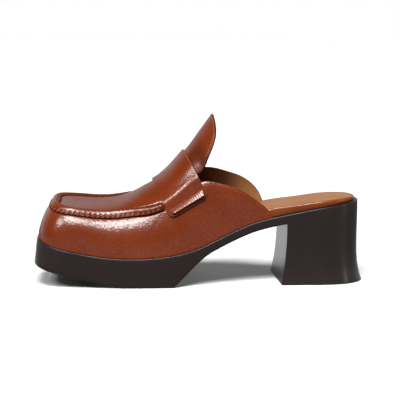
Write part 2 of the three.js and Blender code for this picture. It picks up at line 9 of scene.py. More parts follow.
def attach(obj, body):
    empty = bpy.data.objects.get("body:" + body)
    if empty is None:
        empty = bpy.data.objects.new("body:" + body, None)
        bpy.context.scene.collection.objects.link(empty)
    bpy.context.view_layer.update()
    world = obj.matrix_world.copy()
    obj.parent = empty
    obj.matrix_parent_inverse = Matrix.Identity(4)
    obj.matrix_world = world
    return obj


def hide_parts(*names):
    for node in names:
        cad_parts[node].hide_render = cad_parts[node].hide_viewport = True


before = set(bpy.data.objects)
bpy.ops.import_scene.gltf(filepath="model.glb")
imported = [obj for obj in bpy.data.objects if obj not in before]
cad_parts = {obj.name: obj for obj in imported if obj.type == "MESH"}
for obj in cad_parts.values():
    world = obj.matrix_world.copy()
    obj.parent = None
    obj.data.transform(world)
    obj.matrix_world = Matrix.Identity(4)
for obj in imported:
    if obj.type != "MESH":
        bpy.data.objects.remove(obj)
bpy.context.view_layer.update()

MM = 0.001
LATERAL = -1
MEDIAL = 1

# Sole and heel, as in the part
LENGTH = 265.8
BALL_HALF_WIDTH = 43.5
PLATFORM_HEIGHT = 23.2
TOE_SPRING = 16.2
SEAT_HEIGHT = 66.3
WAIST_THICKNESS = 7.3
PLATFORM_REAR_AT = 0.4175
PLATFORM_FLAT_AT = 0.308
REAR_SLOPE = 1.01
SLOPE_BLEND = 3.0
TOE_DEPTH = 38
TOE_SQUARENESS = 3.3
TOE_RAKE = 2.2
SEAT_DEPTH = 36
SEAT_SQUARENESS = 2.4
BREAST_AT = 0.7575
BREAST_FLARE = 4.4
BREAST_SKEW = 1.5
HEEL_BACK_FLARE = 4.0
HEEL_SIDE_FLARE = 1.5

# Upper, as in the part
INSTEP_HEIGHT = 68.6
UPPER_WALL = 2.2
SOLE_MARGIN = 1.0
TOE_LEAN = 11.0
WALL_START_LEAN = 0.07
WALL_START = 0.4
WALL_TURN = 0.35
CROWN = 0.45
THROAT_AT = 0.414
QUARTER_END_AT = 0.7125
SEAM_HEIGHT = 2.1
SEAM_NARROWS_AT = 0.24
SEAM_NARROWEST = 0.40

# Strap, tongue and insole, as in the part
STRAP_TILT = math.radians(27.5)
STRAP_WIDTH = 33.5
STRAP_MIDDLE_AT = 0.4105
STRAP_END_HEIGHT = 29.3
STRAP_END_SLOPE = math.radians(30.6)
STRAP_CORNER = 4.0
STRAP_CORNER_TURN = 0.97
BEAD_HEIGHT = 2.0
TONGUE_LENGTH = 53.5
TONGUE_RISE = math.radians(52.8)
TONGUE_RADIUS = 33
TONGUE_SPREAD = math.radians(62)
TONGUE_THICKNESS = 2.2
TONGUE_EASE = 0.3
INSOLE_THICKNESS = 5.0
INSOLE_GAP = 0.6
CLEARANCE = 0.3

# What the looks add: meshes. Edges sharper than this are shaded flat, and the rest smooth.
SHARP_EDGE = math.radians(50)
GRID_STEP = 0.8
EDGE_STEPS = 6
BREAST_STEPS = 11

# The apron's seam: where it ends at the strap, its puckers and its slanting whip stitches. Offs are distances
# from the upper's line, inwards over the apron.
SEAM_STOP = 0.6
SEAM_FADE = 1.6
PUCKER_PITCH = 4.0
PUCKER_DEPTH = 0.34
PUCKER_SLANT = 0.9
PUCKER_SHARPNESS = 0.35
SLIP_WAVES = 0.35
# How dark the painted shade in the puckers' dips is
DIP_SHADE = 0.5
PUCKER_WANDER = 0.5
PUCKER_WANDERS_OVER = 11.3
WHIP_LENGTH = 3.4
WHIP_WIDTH = 1.1
WHIP_HEIGHT = 0.9
WHIP_SLANT = 0.9
WHIP_TOP = 0.6
WHIP_MIDDLE = 1.8
WHIP_FOOT = 2.9
STITCHED_AT = -2.3
GROOVE_OFF = 6.0

# Machine stitches, and the topline's folded edge, which turns inwards
STITCH_PITCH = 2.4
STITCH_LENGTH = 1.6
STITCH_WIDTH = 0.55
STITCH_INSET = 1.7
ROLL_DEPTH = 1.2
ROLL_REACH = 4.0
ROLL_STARTS_OVER = 6
ROLL_REAR_SHARE = 0.4
ROLL_EASES_FROM = 15
ROLL_EASES_TO = 45
STITCH_SEED = 4

# The strap over the upper, the bead at its ends and the soft fold above the bead
STRAP_LEATHER = 1.6
STRAP_LIFT = 0.12
BEAD_WIDTH = 5.6
BEAD_MARGIN = 0.9
BEAD_TOP = 0.22
BEAD_END = 1.8
BEAD_WRAP = 1.8
BEAD_DENT = 0.09
FOLD_HEIGHT = 1.2
FOLD_FRONT_OFF = 0.6
FOLD_REAR_OFF = 3.6
FOLD_WIDTH = 5.0

# The X over which the lining's painted shadow fades from dark to tan, rounded edges, and the calf's grain and
# finish
LINING_SHADOW_FULL_TO = 20
LINING_SHADOW_GONE_FROM = 50
RIM_ROUND = 1.3
SOLE_EDGE_ROUND = 1.1
SOLE_TOP_ROUND = 0.8
HEEL_EDGE_ROUND = 1.4
HEEL_FLOOR_ROUND = 0.9
GRAIN_SIZE = 1.0
GRAIN_DEPTH = 0.1
CALF_ROUGHNESS = 0.34
CALF_COAT = 0.85


def table(columns, rows):
    """Rows of values as dictionaries by the columns' names."""
    return [dict(zip(columns.split(), row)) for row in rows]


# The sole along its length. at: share of the length. lateral, medial: shares of the ball's half width. top:
# the upper face's climb to the seat. spring, lift: toe spring of the upper face and the underside. insole:
# share of the insole's thickness.
SOLE_STATIONS = table("at lateral medial top spring lift insole", [
    (0.000, 0.930, 0.955, 0.000, 0.900, 1.000, 1.00),
    (0.068, 0.940, 0.965, 0.000, 0.530, 0.700, 1.00),
    (0.144, 0.958, 0.980, 0.000, 0.250, 0.410, 1.00),
    (0.213, 0.989, 1.000, 0.000, 0.070, 0.190, 1.00),
    (0.290, 1.000, 0.990, 0.000, 0.000, 0.020, 1.00),
    (0.350, 1.000, 0.952, 0.009, 0.000, 0.000, 1.00),
    (0.421, 0.972, 0.878, 0.060, 0.000, 0.000, 1.00),
    (0.478, 0.920, 0.806, 0.143, 0.000, 0.000, 1.00),
    (0.535, 0.862, 0.748, 0.290, 0.000, 0.000, 1.03),
    (0.592, 0.812, 0.715, 0.455, 0.000, 0.000, 1.12),
    (0.648, 0.776, 0.710, 0.602, 0.000, 0.000, 1.28),
    (0.709, 0.754, 0.722, 0.706, 0.000, 0.000, 1.42),
    (0.781, 0.747, 0.738, 0.797, 0.000, 0.000, 1.17),
    (0.875, 0.747, 0.745, 0.903, 0.000, 0.000, 0.93),
    (0.985, 0.747, 0.745, 1.000, 0.000, 0.000, 0.52),
])

# The upper along the sole. lateral, medial: the half width at its line, as shares of the ball's. brk, crest:
# the line's and the middle's height over the sole, tilt: the inner side's extra, all as shares of the instep.
# lean: degrees that the wall leans in at the line. turn: reach of the bend above it.
UPPER_SECTIONS = table("at lateral medial brk crest tilt lean turn", [
    (0.047, 0.735, 0.735, 0.450, 0.462, 0.026, 40, 0.06),
    (0.130, 0.725, 0.725, 0.485, 0.516, 0.038, 48, 0.07),
    (0.213, 0.710, 0.705, 0.512, 0.560, 0.048, 52, 0.08),
    (0.278, 0.715, 0.705, 0.545, 0.634, 0.053, 46, 0.10),
    (0.334, 0.735, 0.715, 0.580, 0.760, 0.055, 35, 0.15),
    (0.387, 0.752, 0.733, 0.629, 0.878, 0.052, 24, 0.20),
    (0.440, 0.742, 0.725, 0.714, 1.067, 0.048, 16, 0.26),
    (0.482, 0.722, 0.708, 0.784, 1.224, 0.047, 14, 0.29),
    (0.516, 0.710, 0.697, 0.765, 1.345, 0.042, 12, 0.32),
    (0.550, 0.708, 0.692, 0.690, 1.450, 0.049,  9, 0.34),
    (0.595, 0.712, 0.689, 0.561, 1.560, 0.049,  6, 0.35),
    (0.637, 0.715, 0.688, 0.421, 1.620, 0.059,  4, 0.35),
    (0.671, 0.716, 0.689, 0.284, 1.640, 0.061,  3, 0.35),
    (0.694, 0.718, 0.692, 0.168, 1.650, 0.040,  2, 0.35),
    (0.713, 0.720, 0.695, 0.020, 1.650, 0.000,  2, 0.35),
])

# The apron's seam across. off: millimetres from the line, inwards over the apron. rise: share of the seam's
# height. slip: millimetres that the leather hangs down over the wall. pucker: share of the puckers' depth.
# shade: how dark the painted shade in its grooves and on its steep face is there, which also dulls the gloss.
SEAM_SHAPE = table("off rise slip pucker shade", [
    (-5.60,  0.00, 0.00, 0.00, 0.00),
    (-4.80, -0.02, 0.00, 0.00, 0.25),
    (-4.20, -0.22, 0.00, 0.00, 0.90),
    (-3.80, -0.26, 0.00, 0.00, 1.00),
    (-3.50, -0.08, 0.15, 0.10, 1.00),
    (-3.25,  0.22, 0.40, 0.40, 0.90),
    (-2.80,  0.42, 0.40, 0.90, 0.60),
    (-2.30,  0.58, 0.20, 1.00, 0.50),
    (-1.80,  0.74, 0.05, 1.00, 0.45),
    (-1.30,  0.92, 0.00, 0.80, 0.40),
    (-0.90,  1.06, 0.00, 0.40, 0.15),
    (-0.60,  1.15, 0.00, 0.12, 0.00),
    (0.00,   1.19, 0.00, 0.04, 0.00),
    (0.80,   1.19, 0.00, 0.00, 0.00),
    (1.60,   1.18, 0.00, 0.00, 0.00),
    (2.40,   1.05, 0.00, 0.00, 0.00),
    (3.40,   0.80, 0.00, 0.10, 0.05),
    (4.40,   0.56, 0.00, 0.40, 0.30),
    (5.20,   0.40, 0.00, 0.70, 0.50),
    (5.80,   0.25, 0.00, 0.70, 0.60),
    (6.30,   0.08, 0.00, 0.40, 0.85),
    (6.90,  -0.20, 0.00, 0.00, 1.00),
    (7.50,  -0.16, 0.00, 0.00, 0.80),
    (8.60,   0.00, 0.00, 0.00, 0.00),
])

# How far the seam's face leans back, millimetres per millimetre below its crest
SEAM_LEANS = table("x lean", [
    (-65.0, 0.56),
    (-50.0, 0.26),
    (-38.0, 0.00),
])

# The X between which the seam sits further in by its lift, the offs over which that fades, and the two ends
# of the leaning face
SEAM_LIFT = 1.2
SEAM_LIFT_TO = -56
SEAM_LIFT_END = -36
SEAM_LIFT_FADES = 2.5
SEAM_LIFT_ENDS = 5.5
SEAM_CREST = 1.9
SEAM_BROW = -0.7

# Soft creases of the outer wall, in millimetres: the middle's X and off, the slant, and the three sizes
CREASES = table("x off slope length width depth", [
    (-67.0,  -9.0, -0.1,  9.0, 1.7, 0.05),
    (-57.0, -10.0,  0.2, 12.0, 1.9, 0.09),
    (-48.0,  -9.0,  0.4,  9.0, 1.7, 0.06),
    (-36.0, -13.0,  0.6, 14.0, 2.4, 0.10),
])

# The tongue's outline: share of its length, and share of its spread there
TONGUE_OUTLINE = table("along spread", [
    (0.00,  0.95),
    (0.14,  1.00),
    (0.31, 0.975),
    (0.42, 0.945),
    (0.54, 0.905),
    (0.67,  0.84),
    (0.77,  0.76),
    (0.86,  0.63),
    (0.92, 0.485),
    (0.96,  0.34),
    (0.99,  0.17),
    (1.00,  0.00),
])

# The heel's flare at levels down to the floor, as shares of the three flares
HEEL_LEVELS = table("down back side breast", [
    (0.00,  0.00,  0.00, 0.00),
    (0.28, -0.05, -0.15, 0.05),
    (0.50, -0.05, -0.15, 0.22),
    (0.68,  0.07,  0.05, 0.42),
    (0.82,  0.32,  0.30, 0.64),
    (0.92,  0.68,  0.65, 0.84),
    (1.00,  1.00,  1.00, 1.00),
])


def station(at):
    """The X of a share of the sole's length."""
    return (at - 0.5) * LENGTH


TOE_X = station(0)
TOE_CENTRE_X = TOE_X + TOE_DEPTH
SEAT_BACK_X = station(1) - HEEL_BACK_FLARE
SEAT_CENTRE_X = SEAT_BACK_X - SEAT_DEPTH
BREAST_X = station(BREAST_AT)
THROAT_X = station(THROAT_AT)
STRAP_MIDDLE_X = station(STRAP_MIDDLE_AT)


def spline(xs, ys):
    """A smooth curve through points, straight past its ends."""
    n = len(xs)
    bend = np.zeros(n)
    system = np.eye(n)
    for i in range(1, n - 1):
        before = xs[i] - xs[i - 1]
        after = xs[i + 1] - xs[i]
        system[i, i - 1:i + 2] = before, 2 * (before + after), after
        bend[i] = 6 * ((ys[i + 1] - ys[i]) / after - (ys[i] - ys[i - 1]) / before)
    bend = np.linalg.solve(system, bend)

    def value(x):
        i = np.clip(np.searchsorted(xs, x, side="left") - 1, 0, n - 2)
        span = xs[i + 1] - xs[i]
        straight = (x - xs[i]) / span
        t = np.clip(straight, 0, 1)
        s = 1 - t
        curved = ((s ** 3 - s) * bend[i] + (t ** 3 - t) * bend[i + 1]) * span * span / 6
        return ys[i] * (1 - straight) + ys[i + 1] * straight + curved

    return value


def curve_through(rows, column, scale=1.0):
    xs = np.array([station(row["at"]) for row in rows])
    return spline(xs, np.array([row[column] for row in rows]) * scale)


def line_through(rows, key, column):
    keys = [row[key] for row in rows]
    values = [row[column] for row in rows]
    return lambda x: np.interp(x, keys, values)


def smoothstep(value, start, end):
    t = np.clip((value - start) / (end - start), 0, 1)
    return t * t * (3 - 2 * t)


sole_width = {
    LATERAL: curve_through(SOLE_STATIONS, "lateral", BALL_HALF_WIDTH),
    MEDIAL: curve_through(SOLE_STATIONS, "medial", BALL_HALF_WIDTH),
}
insole_rise = curve_through(SOLE_STATIONS, "insole", INSOLE_THICKNESS)
sole_rise = curve_through(SOLE_STATIONS, "top", SEAT_HEIGHT - PLATFORM_HEIGHT)
top_spring = curve_through(SOLE_STATIONS, "spring", TOE_SPRING)
under_spring = curve_through(SOLE_STATIONS, "lift", TOE_SPRING)
break_width = {
    LATERAL: curve_through(UPPER_SECTIONS, "lateral", BALL_HALF_WIDTH),
    MEDIAL: curve_through(UPPER_SECTIONS, "medial", BALL_HALF_WIDTH),
}
break_rise = curve_through(UPPER_SECTIONS, "brk", INSTEP_HEIGHT)
crest_rise = curve_through(UPPER_SECTIONS, "crest", INSTEP_HEIGHT)
tilt_rise = curve_through(UPPER_SECTIONS, "tilt", INSTEP_HEIGHT)
break_lean = curve_through(UPPER_SECTIONS, "lean", math.radians(1))
turn_reach = curve_through(UPPER_SECTIONS, "turn", INSTEP_HEIGHT)


def smooth_column(rows, key, column):
    return spline(np.array([row[key] for row in rows]), np.array([row[column] for row in rows]))


tongue_spread = line_through(TONGUE_OUTLINE, "along", "spread")
heel_flare = {name: smooth_column(HEEL_LEVELS, "down", name) for name in ("back", "side", "breast")}


def sole_top(x):
    return PLATFORM_HEIGHT + top_spring(x) + sole_rise(x)


def sole_under(x):
    """The underside: toe spring, the flat under the ball, the platform's rear slope, then waist and seat."""
    x = np.asarray(x, float)
    rear_x = station(PLATFORM_REAR_AT)
    slope = (x - rear_x) * REAR_SLOPE
    waist = sole_top(x) - WAIST_THICKNESS
    blended = 0.5 * (slope + waist - np.sqrt((slope - waist) ** 2 + SLOPE_BLEND ** 2))
    height = np.where(x <= rear_x, 0.0, np.maximum(0.0, blended))
    return np.where(x <= station(PLATFORM_FLAT_AT), np.maximum(0.0, under_spring(x)), height)


def crest_z(x):
    return sole_top(x) + crest_rise(x)


def break_z(x, lie):
    return sole_top(x) + break_rise(x) + tilt_rise(x) * lie


def squared(angle, squareness):
    """A squared oval: how far out and how far across, for an angle from the axis."""
    power = 2 / squareness
    return max(math.cos(angle), 0.0) ** power, max(math.sin(angle), 0.0) ** power


class Rib:
    """A section line of the upper, from the feather edge up the wall to its line, and on over the apron."""

    STEPS = np.linspace(0, 1, 121)[:, None]

    def __init__(self, feather, line, centre, slope_at_centre):
        inwards = (centre - line) * (1, 1, 0)
        inwards /= np.linalg.norm(inwards)
        height = line[2] - feather[2]
        lean = break_lean(line[0])
        up = np.array((0, 0, 1.0))
        turn = inwards * math.sin(lean) + up * math.cos(lean)
        start = inwards * WALL_START_LEAN + up
        across = np.linalg.norm((centre - line)[:2])
        flat = inwards + up * slope_at_centre(inwards)
        shoulder = line + turn * turn_reach(line[0])
        self.wall = self.bezier(feather, feather + start * height * WALL_START,
                                line - turn * height * WALL_TURN, line)
        self.apron = self.bezier(line, shoulder, centre - flat * across * CROWN, centre)
        self.wall_run = self.run(self.wall)
        self.apron_run = self.run(self.apron)
        self.wall_length = self.wall_run[-1]
        self.apron_length = self.apron_run[-1]

    def bezier(self, a, b, c, d):
        t = self.STEPS
        s = 1 - t
        return s ** 3 * a + 3 * s * s * t * b + 3 * s * t * t * c + t ** 3 * d

    @staticmethod
    def run(points):
        return np.concatenate(([0], np.cumsum(np.linalg.norm(np.diff(points, axis=0), axis=1))))

    def at(self, offs):
        """Points at distances from the line, below it where the distance is negative."""
        offs = np.asarray(offs, float)
        wall = [np.interp(offs + self.wall_length, self.wall_run, self.wall[:, k]) for k in range(3)]
        apron = [np.interp(offs, self.apron_run, self.apron[:, k]) for k in range(3)]
        return np.where(offs[:, None] < 0, np.stack(wall, 1), np.stack(apron, 1))


def cross_slope(x):
    """The apron's slope across the shoe at an X, up to the inner side."""
    return tilt_rise(x) / (0.5 * (break_width[LATERAL](x) + break_width[MEDIAL](x)))


def side_rib(side, x):
    """The section line at an X, on a straight side of the upper."""
    feather = np.array((x, side * (sole_width[side](x) - SOLE_MARGIN), sole_top(x) + CLEARANCE))
    line = np.array((x, side * break_width[side](x), break_z(x, side)))
    centre = np.array((x, 0, crest_z(x)))
    slope = cross_slope(x)
    return Rib(feather, line, centre, lambda inwards: slope * inwards[1])


def toe_rib(side, angle):
    """A section line of the toe's fan."""
    out, across = squared(angle, TOE_SQUARENESS)
    depth = TOE_DEPTH - TOE_RAKE - SOLE_MARGIN
    feather_x = TOE_CENTRE_X - depth * out
    line_x = TOE_CENTRE_X - (depth - TOE_LEAN) * out
    feather_y = side * (sole_width[side](TOE_CENTRE_X) - SOLE_MARGIN) * across
    line_y = side * break_width[side](TOE_CENTRE_X) * across
    feather = np.array((feather_x, feather_y, sole_top(feather_x) + CLEARANCE))
    line = np.array((line_x, line_y, break_z(line_x, side * across)))
    centre = np.array((TOE_CENTRE_X, 0, crest_z(TOE_CENTRE_X)))
    slope_y = cross_slope(TOE_CENTRE_X)
    slope_x = crest_z(TOE_CENTRE_X + 0.5) - crest_z(TOE_CENTRE_X - 0.5)
    return Rib(feather, line, centre, lambda inwards: slope_x * inwards[0] + slope_y * inwards[1])


def even_toe_angles(count):
    """Angles of the toe's fan that are evenly spaced along its squared outline."""
    angles = np.linspace(0, math.pi / 2, 2000)
    depth = TOE_DEPTH - TOE_LEAN
    width = break_width[LATERAL](TOE_CENTRE_X)
    corners = np.array([squared(angle, TOE_SQUARENESS) for angle in angles]) * (depth, width)
    run = Rib.run(corners)
    return np.interp(np.linspace(0, run[-1], count + 1), run, angles)


strap_normal = np.array((math.cos(STRAP_TILT), 0, math.sin(STRAP_TILT)))
strap_middle = strap_normal @ np.array((STRAP_MIDDLE_X, 0, crest_z(STRAP_MIDDLE_X)))
strap_front = strap_middle - STRAP_WIDTH / 2
strap_rear = strap_middle + STRAP_WIDTH / 2


def strap_drop(side, rib, x):
    """How far down a section line the strap's end lies, below the upper's line."""
    rise = (x - STRAP_MIDDLE_X) * math.tan(STRAP_END_SLOPE)
    raised = 2 * tilt_rise(x) if side == MEDIAL else 0
    height = sole_top(STRAP_MIDDLE_X) + STRAP_END_HEIGHT + rise + raised
    return rib.wall_length - np.interp(height, rib.wall[:, 2], rib.wall_run)


def column_at(table, place):
    """A column of a table at a place that lies between two of them, counted in columns."""
    low = int(np.clip(math.floor(place), 0, table.shape[1] - 2))
    return table[:, low] * (1 - (place - low)) + table[:, low + 1] * (place - low)


class StrapBed:
    """The body under the strap, as a table of places by reach along the shoe and share towards an end."""

    def __init__(self, side):
        self.xs = np.arange(STRAP_MIDDLE_X - 1.6 * STRAP_WIDTH, STRAP_MIDDLE_X + 1.8 * STRAP_WIDTH, 0.8)
        self.shares = np.linspace(0, 1.03, 240)
        rows = []
        offs = []
        for x in self.xs:
            rib = side_rib(side, x)
            whole = rib.apron_length + strap_drop(side, rib, x)
            offs.append(rib.apron_length - self.shares * whole)
            rows.append(rib.at(offs[-1]))
        self.points = np.array(rows)
        self.offs = np.array(offs)
        self.reaches = self.points @ strap_normal

    def at(self, reach, share):
        """A place on the body, and how far it lies above the upper's line there."""
        column = share / self.shares[-1] * (len(self.shares) - 1)
        reaches, points, offs = [column_at(table, column) for table in (self.reaches, self.points, self.offs)]
        place = np.array([np.interp(reach, reaches, points[:, k]) for k in range(3)])
        return place, np.interp(reach, reaches, offs)


class Arch:
    """The height of the instep over a place in plan."""

    def __init__(self):
        self.xs = np.arange(station(0.38), station(0.60), 0.8)
        self.ys = np.linspace(-TONGUE_RADIUS, TONGUE_RADIUS, 133)
        rows = []
        for x in self.xs:
            row = np.empty(len(self.ys))
            for side in (LATERAL, MEDIAL):
                rib = side_rib(side, x)
                where = self.ys * side >= 0
                row[where] = np.interp(-np.abs(self.ys[where]), -np.abs(rib.apron[:, 1]), rib.apron[:, 2])
            rows.append(row)
        self.heights = np.array(rows)

    def at(self, x, y):
        column = np.clip((y - self.ys[0]) / (self.ys[1] - self.ys[0]), 0, len(self.ys) - 1)
        return np.interp(x, self.xs, column_at(self.heights, column))


class Sheet:
    """A sheet of quads from grids of points, where points that coincide are one vertex."""

    def __init__(self):
        self.points = []
        self.values = []
        self.faces = []
        self.lookup = {}

    def vertex(self, point, values):
        key = tuple(np.round(np.asarray(point) * 500).astype(int))
        if key not in self.lookup:
            self.lookup[key] = len(self.points)
            self.points.append(np.asarray(point, float))
            self.values.append(values)
        return self.lookup[key]

    def grid(self, points, values=None, flip=False):
        """Adds rows of points, each with its values, such as how far the leather stands out there."""
        values = values or [[None] * len(row) for row in points]
        ids = [[self.vertex(p, v) for p, v in zip(row, vals)] for row, vals in zip(points, values)]
        for i in range(len(ids) - 1):
            for j in range(len(ids[i]) - 1):
                quad = [ids[i][j], ids[i][j + 1], ids[i + 1][j + 1], ids[i + 1][j]]
                quad = [v for k, v in enumerate(quad) if v != quad[k - 1]]
                if flip:
                    quad.reverse()
                if len(quad) > 2:
                    self.faces.append(quad)

    def normals(self):
        points = np.array(self.points)
        normals = np.zeros_like(points)
        for face in self.faces:
            corners = points[face]
            normal = np.cross(corners[1] - corners[0], corners[2] - corners[0])
            if len(face) == 4:
                normal += np.cross(corners[2] - corners[0], corners[3] - corners[0])
            normals[face] += normal
        lengths = np.linalg.norm(normals, axis=1, keepdims=True)
        return normals / np.where(lengths > 0, lengths, 1)

    def border(self):
        """The open edges, each with its direction, and how each border point faces away from the sheet."""
        edges = {}
        for face in self.faces:
            for a, b in zip(face, face[1:] + face[:1]):
                if (b, a) in edges:
                    del edges[(b, a)]
                else:
                    edges[(a, b)] = face
        points = np.array(self.points)
        away = {}
        for (a, b), face in edges.items():
            along = points[b] - points[a]
            along /= max(np.linalg.norm(along), 1e-9)
            inward = points[face].mean(axis=0) - points[a]
            inward -= along * (inward @ along)
            inward /= max(np.linalg.norm(inward), 1e-9)
            for v in (a, b):
                away[v] = away.get(v, 0) - inward
        return list(edges), {v: d / max(np.linalg.norm(d), 1e-9) for v, d in away.items()}


def add_mesh(name, points, faces, materials, face_material, values=None):
    """A smooth-shaded object at the origin. Points are millimetres. values is {attribute: list}."""
    mesh = bpy.data.meshes.new(name)
    mesh.from_pydata([tuple(np.asarray(p) * MM) for p in points], [], faces)
    for material in materials:
        mesh.materials.append(material)
    mesh.polygons.foreach_set("use_smooth", [True] * len(mesh.polygons))
    mesh.polygons.foreach_set("material_index", face_material)
    for key, column in (values or {}).items():
        attribute = mesh.attributes.new(key, "FLOAT", "POINT")
        attribute.data.foreach_set("value", np.asarray(column, np.float32))
    mesh.set_sharp_from_angle(angle=SHARP_EDGE)
    mesh.update()
    obj = bpy.data.objects.new(name, mesh)
    bpy.context.scene.collection.objects.link(obj)
    return obj


def leather_shell(name, sheet, materials, edge_round, inner_shade=lambda point: 0.0):
    """A closed wall of leather. Each sheet value is (out, back, slip vector, level, shade). Materials are the
    outer face's, the inner face's and the edge's."""
    points = np.array(sheet.points)
    normals = sheet.normals()
    outs, backs, slips, level, outer_shades = map(np.array, zip(*sheet.values))
    flat = normals * (1, 1, 0)
    flat /= np.maximum(np.linalg.norm(flat, axis=1, keepdims=True), 1e-9)
    normals = np.where(level[:, None], flat, normals)
    outer = points + normals * outs[:, None] + slips
    inner = points - normals * backs[:, None]
    count = len(points)
    shades = list(outer_shades) + [inner_shade(point) for point in inner]
    verts = list(outer) + list(inner)
    faces = [list(face) for face in sheet.faces]
    faces += [[v + count for v in reversed(face)] for face in sheet.faces]
    marks = [0] * len(sheet.faces) + [1] * len(sheet.faces)
    edges, away = sheet.border()
    strips = {}
    for v, direction in away.items():
        middle = 0.5 * (outer[v] + inner[v])
        half = outer[v] - middle
        ids = [v]
        for k in range(1, EDGE_STEPS):
            angle = math.pi * k / EDGE_STEPS
            bulge = direction * edge_round * math.sin(angle)
            verts.append(middle + half * math.cos(angle) + bulge)
            shades.append(0.0)
            ids.append(len(verts) - 1)
        ids.append(v + count)
        strips[v] = ids
    for a, b in edges:
        for k in range(EDGE_STEPS):
            faces.append([strips[b][k], strips[a][k], strips[a][k + 1], strips[b][k + 1]])
            marks.append(2)
    return add_mesh(name, verts, faces, materials, marks, {"shade": shades})


def loft(name, rings, materials, second_from=None, lid_steps=1):
    """A closed solid through rings, from the bottom up. A ring is (medial points, lateral points), each list
    from the back to the toe. The last material covers the lid, and the wall from the second_from ring on."""
    sheet = Sheet()
    marks = []

    def add(rows, mark, flip=False):
        before = len(sheet.faces)
        sheet.grid(rows, flip=flip)
        marks.extend([mark] * (len(sheet.faces) - before))

    loops = [[*medial, *lateral[::-1], medial[0]] for medial, lateral in rings]
    for level in range(len(loops) - 1):
        add(loops[level:level + 2], int(second_from is not None and level >= second_from))
    for (medial, lateral), steps, mark, flip in ((rings[-1], lid_steps, len(materials) - 1, False),
                                                 (rings[0], 1, 0, True)):
        shares = np.linspace(0, 1, steps + 1)
        rows = [[left * (1 - s) + right * s for s in shares] for right, left in zip(medial, lateral)]
        add(rows, mark, flip)
    return add_mesh(name, sheet.points, sheet.faces, materials, marks)


def linear(hex_colour):
    """An sRGB hex colour as Blender's linear colour."""
    parts = [((hex_colour >> shift) & 255) / 255 for shift in (16, 8, 0)]
    return (*[c / 12.92 if c <= 0.04045 else ((c + 0.055) / 1.055) ** 2.4 for c in parts], 1.0)


def add_node(owner, kind, inputs=None, **settings):
    """Adds a node to a material, a world or a group. An input is a value, or (node, output) to link from."""
    tree = owner if isinstance(owner, bpy.types.NodeTree) else owner.node_tree
    node = tree.nodes.new(kind)
    for key, value in settings.items():
        setattr(node, key, value)
    for key, value in (inputs or {}).items():
        if isinstance(value, tuple) and isinstance(value[0], bpy.types.Node):
            tree.links.new(value[0].outputs[value[1]], node.inputs[key])
        else:
            node.inputs[key].default_value = value
    return node


def new_material(name, ior, roughness, level, coat=0.0, coat_roughness=0.1):
    """A material and its shader. level is the shader's specular level."""
    material = bpy.data.materials.new(name)
    material.use_nodes = True
    shader = material.node_tree.nodes["Principled BSDF"]
    for key, value in (("Specular IOR Level", level), ("IOR", ior), ("Roughness", roughness),
                       ("Coat Weight", coat), ("Coat Roughness", coat_roughness)):
        shader.inputs[key].default_value = value
    return material, shader


def noise(material, size_mm, detail=2.0, roughness=0.5):
    """Noise in the object's own space, with features of a size in millimetres."""
    place = add_node(material, "ShaderNodeTexCoord")
    return add_node(material, "ShaderNodeTexNoise", {
        "Vector": (place, "Object"), "Scale": 1 / (size_mm * MM), "Detail": detail, "Roughness": roughness})


def ranged(owner, source, from_min=0.0, from_max=1.0, to_min=0.0, to_max=1.0, smooth=False):
    """An output brought from one range to another. Returns the output to link from."""
    node = add_node(owner, "ShaderNodeMapRange", {
        "Value": source, "From Min": from_min, "From Max": from_max, "To Min": to_min, "To Max": to_max},
        interpolation_type="SMOOTHSTEP" if smooth else "LINEAR")
    return node, "Result"


def mixed(material, factor, first, second):
    """Two colours mixed by a factor. Like the next two, it returns the output to link from."""
    node = add_node(material, "ShaderNodeMix", {"Factor": factor, "A": first, "B": second}, data_type="RGBA")
    return node, "Result"


def scaled(owner, vector, factor):
    node = add_node(owner, "ShaderNodeVectorMath", {0: vector, "Scale": factor}, operation="SCALE")
    return node, "Vector"


def calculated(owner, operation, *values):
    node = add_node(owner, "ShaderNodeMath", dict(enumerate(values)), operation=operation)
    return node, "Value"


def bumped(material, height, depth_mm, below=None):
    """A bump of a depth in millimetres, over another one where there is one."""
    inputs = {"Height": height, "Strength": 1.0, "Distance": depth_mm * MM}
    if below:
        inputs["Normal"] = below
    return add_node(material, "ShaderNodeBump", inputs), "Normal"


def plug(material, shader, **sources):
    """Links outputs to the shader's sockets, whose names are written with underscores."""
    for key, (node, output) in sources.items():
        material.node_tree.links.new(node.outputs[output], shader.inputs[key.replace("_", " ")])


def shade_of(material):
    """The mesh's own measure of painted shade and dulled gloss, from 0 to 1."""
    return add_node(material, "ShaderNodeAttribute", attribute_name="shade"), "Fac"


